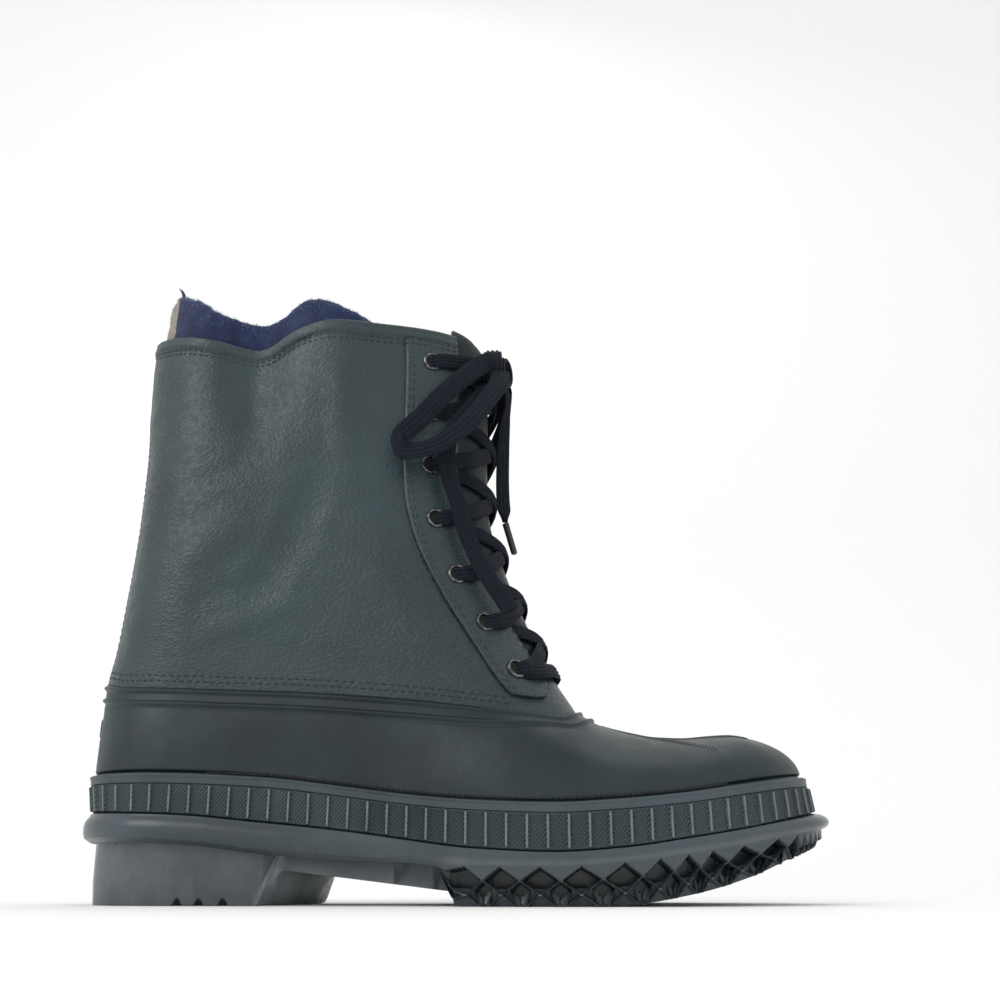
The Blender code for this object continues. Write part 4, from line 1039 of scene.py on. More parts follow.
def build_teeth():
    """Fine upright teeth on the shell just above the rand, along both sides."""
    q = np.linspace(0, 1, 4001)
    line = foot_point(q)
    run = run_along(line)
    pitch = 0.95 * MM
    count = int(run[-1] / pitch)
    q = np.interp((np.arange(count) + 0.5) * run[-1] / count, run, q)
    share = foot_point(q)[:, 0] / LENGTH
    high = 1.5 * MM * step(share, 0.10, 0.34) * (1 - step(share, 0.72, 0.90))
    keep = high > 0.4 * MM
    q, high = q[keep], high[keep]
    t = np.full(len(q), 0.985)
    low = shell_skin(q, t, np.zeros(len(q)))
    above = shell_skin(q, t - 0.03, np.zeros(len(q)))
    up = unit(above - low)
    out = shell_normal(q, t)
    side = np.cross(up, out)
    template = [(-1, 0, 0), (1, 0, 0), (0.5, 0, 1), (-0.5, 0, 1), (-1, 1, 0), (1, 1, 0),
                (0.5, 1, 0.5), (-0.5, 1, 0.5)]
    faces = [(0, 1, 2, 3), (5, 4, 7, 6), (0, 3, 7, 4), (1, 5, 6, 2), (3, 2, 6, 7), (0, 4, 5, 1)]
    axes = np.stack([side * 0.28 * MM, up * high[:, None], out * 0.45 * MM], 1)
    item = scatter("rand_teeth", template, faces, low, axes, MATERIALS["lug"], 20)
    return settle(item, "shell_rubber")


# Leg: leather shaft, eyestays, tongue, liner and insole


GAP_COLUMNS = 18
LEVEL_THROAT = 0.10
EYELET_SHARES = (0.920, 0.820, 0.720, 0.620, 0.520, 0.437, 0.357)
EYELET_SET = 13.8 * MM
SIDES = {-1: "lateral", 1: "medial"}


def leg_columns(count):
    """Signed turns from the medial front round the back to the lateral front."""
    front = np.linspace(np.pi, KNEE, GAP_COLUMNS + 1)[:-1]
    return np.concatenate([front, np.linspace(KNEE, -KNEE, count + 1), -front[:0:-1]])


def edge_turns(levels, side, distances):
    """Turns at distances round the leg, back from the throat's edge, one row a level."""
    angles = KNEE * (1 - 0.5 * np.linspace(0, 1, 121))
    levels = np.atleast_1d(levels)
    distances = np.broadcast_to(distances, (len(levels), np.shape(distances)[-1]))
    result = np.empty(distances.shape)
    for i, level in enumerate(levels):
        line = leg_skin(side * angles, level, 0.0)
        run = run_along(line)
        result[i] = side * np.interp(distances[i], run, angles)
    return result


def leg_distance(turns, level):
    """Distance of each turn of one level from the back, along the leg; + medial."""
    fine = np.linspace(-np.pi, np.pi, 721)
    line = leg_skin(fine, level, 0.0)
    run = run_along(line)
    return np.interp(turns, fine, run - run[360])


def crease(points, route, half, depth):
    """Soft trough, or ridge for a negative depth, along a route of x, z places on one side."""
    route = np.asarray(route, float) * MM
    flat = points[..., (0, 2)]
    near = np.full(flat.shape[:-1], np.inf)
    along = np.zeros(near.shape)
    total = run_along(route)
    for a, b, start in zip(route, route[1:], total):
        line = b - a
        t = np.clip(((flat - a) @ line) / (line @ line), 0, 1)
        gap = np.linalg.norm(flat - a - t[..., None] * line, axis=-1)
        closer = gap < near
        near = np.where(closer, gap, near)
        along = np.where(closer, (start + t * np.linalg.norm(line)) / total[-1], along)
    return -depth * MM * bump(near, 0, half * MM) * np.sin(np.pi * np.clip(along, 0.02, 0.98)) ** 0.5


# Lateral creases of the leg: route (mm from the heel, height), half width, depth
CREASES = (
    (((68, 245), (81, 253), (98, 262)), 2.6, 0.8),
    (((30, 246), (44, 248), (58, 252)), 2.4, 0.35),
    (((53, 242), (61, 227), (66, 206)), 9.0, 0.5),
    (((104, 240), (107, 211), (112, 186)), 10.0, -0.8),
    (((37, 141), (53, 154), (69, 167)), 15.0, -1.3),
    (((70, 122), (87, 152), (100, 188)), 13.0, 1.4),
    (((34, 176), (52, 184), (66, 196)), 9.0, 0.5),
    (((46, 108), (72, 118), (102, 126)), 9.0, -0.7),
    (((40, 122), (62, 130), (84, 134)), 7.0, 0.5),
    (((96, 130), (118, 122), (140, 112)), 8.0, 0.6),
    (((92, 108), (116, 105), (138, 99)), 6.5, -0.4),
)


def leg_relief(points, side):
    total = np.zeros(points.shape[:-1])
    for route, half, depth in CREASES:
        if side > 0:
            route = [(x * 0.96 + 5, z - 7) for x, z in route]
            depth = depth * 0.7
        mask = points[..., 1] * side > 0
        total += np.where(mask, crease(points, route, half, depth), 0.0)
    return total


def build_shaft():
    turns = leg_columns(330)
    drops = np.array([0.0, 0.25, 0.7, 1.4, 2.4, 3.2, 3.7, 4.2, 4.7, 5.2, 5.6, 6.0, 6.6]) * MM
    levels = list(1 - drops / LEG_RISE) + list(np.linspace(0.95, LEVEL_THROAT, 92)) + [0.085, 0.065]
    levels += [0.045, 0.025, 0.0012]
    levels = np.array(levels)
    grid_turn, grid_level = np.meshgrid(turns, levels)
    base = leg_base(grid_turn, grid_level)
    way = leg_normal(grid_turn, grid_level)
    drop = (1 - grid_level) * LEG_RISE
    out = np.full(base.shape[:2], LEATHER_OUT)
    band = 1 - step(drop, 5.4 * MM, 6.2 * MM)
    out += band * 1.0 * MM
    out -= 0.7 * MM * (1 - np.clip(drop / (0.9 * MM), 0, 1)) ** 2
    out += 0.35 * MM * bump(drop, 4.2 * MM, 0.9 * MM)
    back = np.abs(leg_distance(turns, 0.5))[None]
    strip = (1 - step(back, 8.0 * MM, 8.9 * MM)) * (1 - band)
    out += 0.55 * MM * strip
    out -= 0.25 * MM * bump(back, 9.4 * MM, 0.7 * MM) * (1 - band)
    body = (1 - band) * step(grid_level, 0.02, 0.12)
    out += body * sum(leg_relief(base, side) for side in (-1, 1))
    out += 0.30 * MM * noise(base, 0.035, 5) * body
    outer = base + way * out[..., None]
    inner = base + way * (LEATHER_IN - 0.1 * MM * body)[..., None]
    tuck_out = [leg_skin(turns, 0.0008, TUCK_OUT)]
    tuck_in = [leg_skin(turns, 0.010, TUCK_OUT - LEATHER)]
    q = shell_q(turns)
    t, _, _ = shell_places(q, [0.0, 10 * MM], [])
    for row in t:
        tuck_out.append(shell_skin(q, row, TUCK_OUT))
        tuck_in.append(shell_skin(q, row, TUCK_OUT - LEATHER))
    outer = np.concatenate([outer, tuck_out])
    inner = np.concatenate([inner, tuck_in])
    rows = outer.shape[0]
    kept = np.ones((rows - 1, len(turns)), bool)
    throat_row = len(drops) + 91
    kept[:throat_row, :GAP_COLUMNS] = False
    kept[:throat_row, -GAP_COLUMNS:] = False
    item = wall("leg", outer, inner, MATERIALS["leather"], True, kept, angle=50)
    return settle(item, "leg_leather", "shaft")


def eyestay_grid():
    levels = np.concatenate([np.linspace(0.963, 0.10, 122), np.linspace(0.10, 0.040, 26)[1:]])
    shares = np.linspace(0, 1, 25)
    foot = np.clip((0.095 - levels) / (0.095 - 0.040), 0, 1)
    wide = EYESTAY_WIDTH * np.sqrt(1 - 0.10 * foot ** 6)
    front = 17 * MM * (1 - np.sqrt(1 - foot ** 2.6))
    return levels, shares, wide, front


def build_eyestay(side):
    levels, shares, wide, front = eyestay_grid()
    distance = lerp(front[:, None], wide[:, None], shares[None])
    turns = edge_turns(levels, side, distance)
    order = np.argsort(-turns[0])
    turns = turns[:, order]
    distance = distance[:, order]
    level = np.broadcast_to(levels[:, None], turns.shape)
    edge = np.minimum(distance - front[:, None], wide[:, None] - distance)
    edge = np.minimum(edge, (level - 0.038) * LEG_RISE)
    thick = lerp(0.45, 1.0, step(edge, -0.2 * MM, 1.1 * MM)) * EYESTAY_WALL
    base = leg_base(turns, level)
    way = leg_normal(turns, level)
    low = LEATHER_OUT + 0.5 * MM
    relief = 0.12 * MM * noise(base, 0.03, 9)
    for index in range(EYELETS):
        turn, place = eyelet_place(side, index)
        spot = leg_skin(turn, place, 0.0)
        gap = np.linalg.norm(base - spot, axis=-1)
        relief = relief - 0.35 * MM * bump(gap, 0, 7 * MM)
    outer = base + way * (low + thick + relief)[..., None]
    inner = base + way * np.full(level.shape, low)[..., None]
    item = wall("facing_" + SIDES[side], outer, inner, MATERIALS["overlay"], angle=50)
    return settle(item, "leg_leather", "eyestay_" + SIDES[side])


def build_tongue():
    levels = np.concatenate([[TONGUE_TOP, TONGUE_TOP - 0.004, TONGUE_TOP - 0.012],
                             np.linspace(TONGUE_TOP - 0.03, 0.05, 90)])
    across, level = np.meshgrid(np.linspace(1, -1, 61), levels)
    span = TONGUE_SPAN * lerp(1.0, 0.62, step(level, 0.90, TONGUE_TOP) ** 1.5)
    turn = np.pi + across * span
    base = leg_base(turn, level)
    way = leg_normal(turn, level)
    end = (TONGUE_TOP - level) * LEG_RISE
    soft = 1 - step(end, 0.0, 2.0 * MM)
    out = TONGUE_OUT - 0.9 * MM * soft + 0.3 * MM * noise(base, 0.02, 4) * (1 - soft) - 0.3 * MM
    out = out + 3.4 * MM * (1 - np.clip(np.abs(across) / 0.62, 0, 1) ** 2) ** 2 * step(end, 0, 8 * MM)
    back = TONGUE_OUT - TONGUE_WALL + 0.9 * MM * soft
    item = wall("tongue_pad", base + way * out[..., None], base + way * back[..., None],
                MATERIALS["tongue"], angle=60)
    return settle(item, "leg_leather", "tongue")


def build_liner():
    turns = leg_columns(330)
    side = np.where(turns > 0, 1, -1)
    share = leg_share(np.abs(turns), 1.0)
    rise = by_side(COLLAR, side, share, "felt_") * LINER_RISE
    height = (leg_point(leg_share(np.abs(turns), 1.0), side, 1.0)
              - leg_point(leg_share(np.abs(turns), 0.0), side, 0.0))[:, 2]
    random = np.random.default_rng(11)
    ragged = np.convolve(np.tile(random.normal(0, 1, len(turns)), 3), [0.25, 0.5, 0.25], "same")
    ragged = ragged[len(turns):2 * len(turns)] * 0.5 * MM
    outer = []
    inner = []
    steps = np.array([0.0, 0.3, 1.0, 2.2, 4, 6, 8, 10, 12, 14, 17, 20, 24, 28, 33, 38]) * MM
    for drop in steps:
        soft = (1 - np.clip(drop / (2.2 * MM), 0, 1)) ** 2
        level = 1.0 + (rise + ragged * (1 - min(drop / (10 * MM), 1)) - drop) / height
        out = liner_out(turns, 1.0)
        points = leg_base(turns, level)
        way = leg_normal(turns, level)
        rough = 0.45 * MM * noise(points, 0.009, 2)
        outer.append(points + way * (out - FELT * 0.42 * soft + rough)[..., None])
        rough = 0.45 * MM * noise(points, 0.011, 8)
        inner.append(points + way * (out - FELT + FELT * 0.42 * soft + rough)[..., None])
    for level in np.concatenate([np.linspace(0.70, 0.10, 16), [0.03, 0.01]]):
        level = np.full(len(turns), level)
        points = leg_base(turns, level)
        way = leg_normal(turns, level)
        out = liner_out(turns, level)
        rough = 0.3 * MM * noise(points, 0.012, 6)
        outer.append(points + way * (out - 0.2 * MM)[..., None])
        inner.append(points + way * (out - FELT + rough)[..., None])
    q = shell_q(turns)
    t, _, _ = shell_places(q, [0.0, 10 * MM], [0.25, 0.42, 0.58, 0.8, 1.0])
    for row in t:
        outer.append(shell_skin(q, row, LINER_FOOT))
        inner.append(shell_skin(q, row, LINER_FOOT - FELT))
    low = skirt_point(q, 1.0, LINER_FOOT)
    low_in = skirt_point(q, 1.0, LINER_FOOT - FELT)
    low[:, 2] += GAP
    low_in[:, 2] += GAP
    outer.append(low)
    inner.append(low_in)
    outer = np.stack(outer)
    inner = np.stack(inner)
    flap = (1 - step(outer[..., 0], 17 * MM, 20 * MM)) * (outer[..., 2] > 0.20)
    item = wall("felt_boot", outer, inner, MATERIALS["felt"], True, angle=70, backing=flap)
    settle(item, "liner_felt", "liner")
    build_lint(outer, inner)
    build_flap_edge(outer)


def build_flap_edge(outer):
    """Pale cut edge of the liner's back flap, with its small bent tip."""
    lateral = np.where(outer[8, :, 1] < 0, np.abs(outer[8, :, 0] - 18.5 * MM), 1.0)
    column = int(np.argmin(lateral))
    line = outer[12::-1, column]
    tip = [line[-1] + np.array(way) * MM for way in ((-0.5, 0, 2.2), (-1.6, 0, 4.2), (-3.0, 0, 5.4))]
    line = np.vstack([line, tip])
    wide = np.concatenate([np.full(len(line) - 3, 0.75), (0.7, 0.5, 0.15)]) * MM
    out = np.array((-0.45, -0.9, 0.0))
    along = np.array((0.9, -0.45, 0.0))
    corners = [line + along * wide[:, None] * a + out * b * MM
               for a, b in ((-1, -0.2), (1, -0.2), (1, 0.8), (-1, 0.8))]
    grid = np.stack(corners, 1)
    pale = np.zeros(grid.shape[:2])
    pale[:-4] = 1.0
    item = make_mesh("flap_edge", grid, ring_faces(len(line), 4), MATERIALS["felt"], angle=30,
                     weights={"backing": pale})
    return settle(item, "liner_felt")


def build_lint(outer, inner):
    """Loose fibres along the top edge and over the felt that stands above the collar."""
    random = np.random.default_rng(21)
    count = 5200
    row = np.minimum(random.exponential(1.6, count), 9.0)
    column = random.integers(0, outer.shape[1], count)
    low = row.astype(int)
    part = (row - low)[:, None]
    face = random.uniform(0, 1, count) < 0.65
    a = np.where(face[:, None], outer[low, column], inner[low, column])
    b = np.where(face[:, None], outer[low + 1, column], inner[low + 1, column])
    place = lerp(a, b, part)
    out = unit(outer[low, column] - inner[low, column]) * np.where(face, 1, -1)[:, None]
    up = np.array((0.0, 0.0, 1.0))
    way = unit(out * random.uniform(0.1, 1, (count, 1)) + up * random.uniform(-0.2, 1, (count, 1))
               + random.normal(0, 0.45, (count, 3)))
    side = unit(np.cross(way, random.normal(0, 1, (count, 3))))
    size = random.uniform(0.6, 1.9, (count, 1)) * MM
    template = [(0, -1, 0), (0, 1, 0), (0.55, 0.7, 0.25), (0.55, -0.7, 0.25), (1, 0.2, 0.0), (1, -0.2, 0.0)]
    faces = [(0, 1, 2, 3), (3, 2, 4, 5)]
    axes = np.stack([way * size, side * 0.08 * MM, np.cross(way, side) * size], 1)
    item = scatter("felt_lint", template, faces, place, axes, MATERIALS["lint"], 180)
    return settle(item, "liner_felt")


def build_insole():
    q = np.arange(240) / 240
    edge = LINER_FOOT - FELT - GAP
    depth = skirt_point(q, 0.0, 0.0)[:, 2] - skirt_point(q, 1.0, 0.0)[:, 2]
    low = skirt_point(q, 1.0, edge)
    side = skirt_point(q, 1 - 0.8 * INSOLE_WALL / depth, edge)
    high = skirt_point(q, 1 - INSOLE_WALL / depth, edge - 1.2 * MM)
    rim = [side, high]
    mirror = np.roll(high[::-1], 1, axis=0)
    for w in np.linspace(0.1, 1.0, 14):
        rim.append(lerp(high, (high + mirror) / 2, w))
    rim = np.stack([low] + rim)
    rim[1:, :, 2] += 0.25 * MM * noise(rim[1:], 0.02, 3)
    rim[..., 2] += GAP
    faces = ring_faces(rim.shape[0], len(q))[:, ::-1]
    item = make_mesh("insole_felt", rim, faces, MATERIALS["felt"], angle=60)
    return settle(item, "liner_felt", "insole")


# Eyelets


def level_at(turn, z):
    levels = np.linspace(0, 1, 401)
    heights = leg_skin(np.full(401, turn), levels, 0.0)[:, 2]
    return float(np.interp(z, heights, levels))


EYELET_SPOTS = {}


def eyelet_place(side, index):
    """Turn and level of an eyelet's middle."""
    if (side, index) not in EYELET_SPOTS:
        z = EYELET_SHARES[index] * COLLAR_HEIGHT
        turn = side * KNEE * 0.97
        for _ in range(3):
            level = level_at(turn, z)
            turn = float(edge_turns(level, side, [EYELET_SET])[0, 0])
        EYELET_SPOTS[(side, index)] = (turn, level)
    return EYELET_SPOTS[(side, index)]


def eyelet_frame(side, index):
    turn, level = eyelet_place(side, index)
    centre = leg_skin(turn, level, EYESTAY_OUT)
    out = unit(leg_skin(turn, level, 0.01) - leg_skin(turn, level, 0.0))
    along = unit(np.cross((0.0, 0.0, 1.0), out))
    return centre, along, np.cross(out, along), out


def build_eyelets():
    """Rolled metal rings with a near-black disc of painted shade in each hole, each ring for its own CAD
    node.
    """
    profile = ((0.99, -0.4), (1.0, 0.05), (0.98, 0.45), (0.92, 0.80), (0.84, 0.95), (0.76, 0.86),
               (0.70, 0.45), (0.67, -0.3), (0.66, -1.2))
    count = 40
    spin = 2 * np.pi * np.arange(count) / count
    for side in (-1, 1):
        for index in range(EYELETS):
            centre, along, across, out = eyelet_frame(side, index)
            spoke = np.cos(spin)[:, None] * along + np.sin(spin)[:, None] * across
            rows = [centre + spoke * r * EYELET_RADIUS + out * h * MM for r, h in profile]
            faces = ring_faces(len(profile), count)[:, ::-1]
            name = f"eyelet_ring_{SIDES[side]}_{index + 1}"
            item = make_mesh(name, np.stack(rows), faces, MATERIALS["metal"], angle=70)
            settle(item, "eyelet_metal", f"eyelet_{SIDES[side]}_{index + 1}")
            # A near-black disc just inside the ring: painted shade in the hole.
            disc = np.stack([centre + spoke * r * EYELET_RADIUS - out * 0.15 * MM
                             for r in (0.66, 0.3, 0.02)])
            shadow_disc = make_mesh(name.replace("ring", "hole"), disc, faces_of(disc), MATERIALS["hole"])
            settle(shadow_disc, "eyelet_metal")


def faces_of(grid, flip=True):
    return ring_faces(grid.shape[0], grid.shape[1], 0, flip)


# Stitched seams of the leg


def leg_seam(turns, levels, out, **sizes):
    stitch_line(leg_skin(turns, levels, out), leg_normal(turns, levels), **sizes)


def sew_leg():
    turns = np.linspace(KNEE - 0.02, -KNEE + 0.02, 900)
    for drop in (7.0 * MM, 9.1 * MM):
        level = 1 - drop / LEG_RISE + 0 * turns
        ends = edge_turns([0.95], 1, [EYESTAY_WIDTH])[0, 0]
        out = np.where(np.abs(turns) > ends, EYESTAY_OUT, LEATHER_OUT)
        leg_seam(turns, level, out, pitch=3.0 * MM, long=2.1 * MM)
    for rise in (3.2 * MM, 5.6 * MM):
        inner = turns[np.abs(turns) < KNEE * 0.86]
        leg_seam(inner, rise / LEG_RISE + 0 * inner, LEATHER_OUT, pitch=3.4 * MM, long=2.3 * MM)
    for side in (-1, 1):
        levels, _, wide, front = eyestay_grid()
        keep = (levels < 0.945) & (levels > 0.046)
        levels, wide, front = levels[keep], wide[keep], front[keep]
        for inset, start in ((1.5 * MM, 0), (-1.5 * MM, 1), (-3.6 * MM, 1)):
            distance = wide + inset if start else front + inset
            turn = edge_turns(levels, side, distance[:, None])[:, 0]
            leg_seam(turn, levels, EYESTAY_OUT - 0.1 * MM, pitch=4.2 * MM, long=2.9 * MM, wide=0.34 * MM)
        back = np.linspace(0.93, 0.04, 300)
        turn = side * np.interp(6.6 * MM, leg_distance(np.linspace(0, 1, 200), 0.5), np.linspace(0, 1, 200))
        leg_seam(turn + 0 * back, back, LEATHER_OUT + 0.5 * MM, pitch=3.4 * MM, long=2.4 * MM)


def build_stitches():
    points, faces = capsule()
    places = np.concatenate([p for p, _ in STITCHES])
    axes = np.concatenate([a for _, a in STITCHES])
    item = scatter("stitching", points, faces, places, axes, MATERIALS["thread"])
    return settle(item, "leg_leather")


# Sole


APEXES = (0.513, 0.555, 0.602, 0.651, 0.703, 0.745, 0.779, 0.809, 0.849, 0.894, 0.919)
TOE_PITCH = 5.0 * MM
BREAST = 0.262
HEEL_NOTCHES = (0.155, 0.182, 0.212)


def ground(share):
    return read(FORM, "ground", share) * SIDE_HEIGHT


def wall_foot(share):
    return read(FORM, "wall_foot", share) * SIDE_HEIGHT


def sole_columns():
    """Places round the sole, closer together along the lugs."""
    spots = np.linspace(0, 1, 1501)[:-1]
    known = (0.0, 0.12, 0.88, 1.0)
    return np.interp(spots, known, (0.0, 0.25, 0.75, 1.0))


def lug_index(q):
    """Running number of lugs along the sole's edge: whole at an apex."""
    fine = np.linspace(0, 0.5, 2001)
    rim = sole_point(fine, 1.0, 0.0)
    run = run_along(rim)
    share = foot_point(fine)[:, 0] / LENGTH
    at = list(np.interp((0.40,) + APEXES, share, run))
    left = run[-1] - at[-1]
    more = round(left / TOE_PITCH)
    at += [at[-1] + left * (k + 1) / more for k in range(more)]
    near = np.minimum(np.mod(q, 1), 1 - np.mod(q, 1))
    return np.interp(np.interp(near, fine, run), at, np.arange(-1, len(at) - 1))


def tread_grid(q):
    """Rows of the sole from its top rim down the wall, the lugged side and the underside."""
    share = foot_point(q)[:, 0] / LENGTH
    top = read(FORM, "sole_top", share) * SIDE_HEIGHT
    foot = wall_foot(share)
    fade = HEEL_BEAD_RISE * (1 - step(share, 0.25, 0.47))
    fore = step(share, 0.478, 0.500)
    u = lug_index(q)
    rows = []
    tone_and_painted_light = []
    recess_shade = []
    lower = 0.10 * (1 - step(share, 0.20, 0.42))
    rows.append(sole_point(q, lower - 0.04, SOLE_LEDGE - 2.9 * MM))
    tone_and_painted_light.append(0.0)
    recess_shade.append(0.0)
    for drop, rise in ((0.0, 0.0), (0.03, 0.10), (0.10, 0.22), (0.18, 0.52), (0.30, 0.85),
                       (0.48, 1.0), (0.70, 0.93), (0.86, 0.70)):
        out = SOLE_LEDGE + fade * rise - 0.6 * MM * (drop == 0.0)
        lift = 1.5 * MM * fore * drop / np.maximum(top - foot, MM)
        rows.append(sole_point(q, lerp(lower, 1.0, drop) - lift, out))
        tone_and_painted_light.append(0.12 * (drop > 0.6) * fore)
        recess_shade.append(0.0)
    rim = sole_point(q, 1.0 - 1.5 * MM * fore / np.maximum(top - foot, MM), SOLE_LEDGE)
    high = rim[:, 2]
    low = ground(share)
    normal = foot_normal(q)
    toe = step(share, 0.90, 0.93)
    reach = lerp(0.36, 0.62, toe)
    for v in np.linspace(0, 1, 27):
        gap = np.abs(u - np.round(u))
        wall_zone = step(2 * reach * gap - v, -0.03, 0.02)
        a = np.mod(u + v / (2 * reach), 1.0)
        b = np.mod(u - v / (2 * reach), 1.0)
        edge = np.minimum(np.minimum(a, 1 - a), np.minimum(b, 1 - b))
        pit = step(edge, 0.02, 0.10) * (1 - wall_zone)
        flat = 3.2 * MM * v * (1 - wall_zone * 0.8)
        depth = (flat + pit * lerp(5.5 * MM, 2.6 * MM, toe)) * fore
        z = lerp(high, low, v)
        z = lerp(foot, z, fore)
        tuck = (1 - fore) * (0.6 * MM + 0.4 * MM * v)
        point = rim - normal * (depth + tuck)[:, None]
        point[:, 2] = z - (1 - fore) * 0.2 * MM * v
        rows.append(point)
        # A paler line along one edge of each lug is a painted highlight; the lug pits take painted shade.
        rising = 1 - step(np.minimum(b, 1 - b), 0.01, 0.035)
        line = 0.4 * rising * (1 - wall_zone)
        tone_and_painted_light.append(line * fore * step(v, 0.02, 0.08))
        recess_shade.append(0.85 * step(edge, 0.012, 0.06) * (1 - wall_zone) * fore)
    clean = rim - normal * (3.2 * MM * fore + 1.0 * MM * (1 - fore))[:, None]
    middle = (read(FORM, "medial", share) - read(FORM, "lateral", share)) * BALL_WIDTH / 2
    spine_y = read(FORM, "swing", share) * BALL_WIDTH + middle
    spine = np.stack([np.clip(rim[:, 0], 0.035 * LENGTH, 0.955 * LENGTH), spine_y], 1)
    way = spine - clean[:, :2]
    length = np.linalg.norm(way, axis=1)
    steps = np.concatenate([[0.3, 1.5, 3.0, 4.2], np.linspace(5.2, 46, 22)]) * MM
    for distance in steps:
        w = np.minimum(distance / length, 1.0)
        plan = clean[:, :2] + way * w[:, None]
        s = plan[:, 0] / LENGTH
        floor = ground(s)
        roof = wall_foot(s) + 0.4 * MM
        inward = np.minimum(distance, length)
        a = np.mod(u + 0.5 / reach + inward / (16 * MM), 1.0)
        b = np.mod(u - 0.5 / reach - inward / (16 * MM), 1.0)
        edge = np.minimum(np.minimum(a, 1 - a), np.minimum(b, 1 - b))
        groove = (1 - step(edge, 0.10, 0.20)) * step(inward, 3 * MM, 6 * MM)
        start = 1 - step(edge, 0.02, 0.2)
        groove = np.maximum(groove, (1 - start) * (1 - step(inward, 0.5 * MM, 3 * MM)) * 0.6)
        fore_z = lerp(floor, floor + (roof - floor) * 0.8, groove)
        panel = under_arch(s, plan[:, 1] - spine_y)
        under = lerp(0.27, 0.10, np.clip((s - 0.27) / 0.23, 0, 1)) * SIDE_HEIGHT
        z = lerp(roof - panel * (roof - under), fore_z, step(s, 0.492, 0.500))
        lit = 0.5 * (panel > 0.9) * (1 - step(s, 0.492, 0.5))
        skew = 0.055 * step(plan[:, 1], -36 * MM, 34 * MM)
        breast = BREAST + skew
        block = step(inward, 4.6 * MM, 5.6 * MM) * (1 - step(s, breast - 0.010, breast + 0.016))
        rim_zone = 1 - step(inward, 8 * MM, 11 * MM)
        bottom = 0.45 * MM * rim_zone * (np.arange(len(q)) % 3 == 0)
        for notch in HEEL_NOTCHES:
            bottom = np.maximum(bottom, 3.4 * MM * bump(s - notch, 0, 0.008) * rim_zone)
        z = lerp(z, bottom, block)
        # The heel breast is made paler: painted light.
        face = step(inward, 5 * MM, 7 * MM) * bump(s - BREAST - skew, 0.004, 0.022)
        rows.append(np.stack([plan[:, 0], plan[:, 1], z], 1))
        # The heel block's side is made paler: painted light.
        block_side = 0.16 * (inward > 4 * MM) * (inward < 9 * MM) * (s < BREAST + skew)
        tone_and_painted_light.append(np.maximum(np.maximum(lit, face), block_side))
        # Painted shade in the underside's grooves.
        recess_shade.append(0.6 * groove * (s > 0.5))
    weights = [np.stack([row + 0 * q for row in weight]) for weight in (tone_and_painted_light, recess_shade)]
    return np.stack(rows), weights, spine


def build_outsole():
    q = sole_columns()
    count = len(q)
    grid, weights, spine = tread_grid(q)
    top = grid[0]
    cap = [top]
    for w in (0.3, 1.0):
        plan = lerp(top[:, :2], spine, w)
        height = top[:, 2] - 0.4 * MM
        cap.append(np.stack([plan[:, 0], plan[:, 1], height], 1))
    cap = np.stack(cap)
    base = grid.shape[0] * count
    faces = [ring_faces(grid.shape[0], count), ring_faces(cap.shape[0], count, base, True)]
    points = np.concatenate([grid.reshape(-1, 3), cap.reshape(-1, 3)])
    tone_and_painted_light, recess_shade = (np.concatenate([w.ravel(), np.zeros(cap.shape[0] * count)]) for w in weights)
    item = make_mesh("tread", points, np.concatenate(faces), MATERIALS["sole"], angle=30,
                     weights={"tone_and_painted_light": tone_and_painted_light, "recess_shade": recess_shade})
    return settle(item, "sole_rubber", "outsole")


def under_arch(s, y):
    """Raised panel under the arch: 1 inside its outline."""
    wide = 0.20 * BALL_WIDTH
    across = 1 - step(np.abs(y + 0.02 * BALL_WIDTH), wide - 0.4 * MM, wide + 0.4 * MM)
    return across * step(s, 0.265, 0.27) * (1 - step(s, 0.495, 0.50))


# Laces


def lace_ribbon(name, route, sides, width=LACE_WIDTH, thick=LACE_WALL, ribs=4, end_taper=0.0):
    """Flat braided lace along a dense route, with the way its flat face looks at each point."""
    route = np.asarray(route, float)
    along = unit(np.gradient(route, axis=0))
    face = unit(sides - along * (sides * along).sum(1)[:, None])
    edge = np.cross(along, face)
    spots = np.linspace(-1, 1, 17)
    lift = 0.5 * thick * (1 - 0.35 * np.abs(spots) ** 3)
    lift = lift + 0.20 * thick * np.cos(spots * np.pi * ribs)
    lift[[0, -1]] = 0.0
    spots_out = spots * width / 2
    upper = [(s, h) for s, h in zip(spots_out, lift)]
    lower = [(s, -h) for s, h in zip(spots_out[::-1][1:-1], lift[::-1][1:-1])]
    ring = np.array(upper + lower)
    if end_taper:
        left = np.linalg.norm(route - route[-1], axis=1)
        scale = lerp(0.36, 1.0, step(left, 0.0, end_taper))[:, None, None]
    else:
        scale = 1.0
    flat = edge[:, None] * ring[None, :, :1] * scale
    grid = route[:, None] + flat + face[:, None] * ring[None, :, 1:]
    count = len(ring)
    run = run_along(route)
    faces = ring_faces(len(route), count)[:, ::-1]
    j, i = np.meshgrid(np.arange(len(route) - 1), np.arange(count), indexing="ij")
    across = run_along(np.vstack([ring, ring[:1]]))
    corner = [np.stack([run[j + a], across[i + b]], -1) for a, b in ((0, 0), (1, 0), (1, 1), (0, 1))]
    uv = np.stack(corner, -2).reshape(-1, 4, 2)[:, ::-1]
    points = grid.reshape(-1, 3) + (LENGTH / 2, 0, 0)
    return make_mesh(name, points, faces, MATERIALS["lace"], uv, 80)


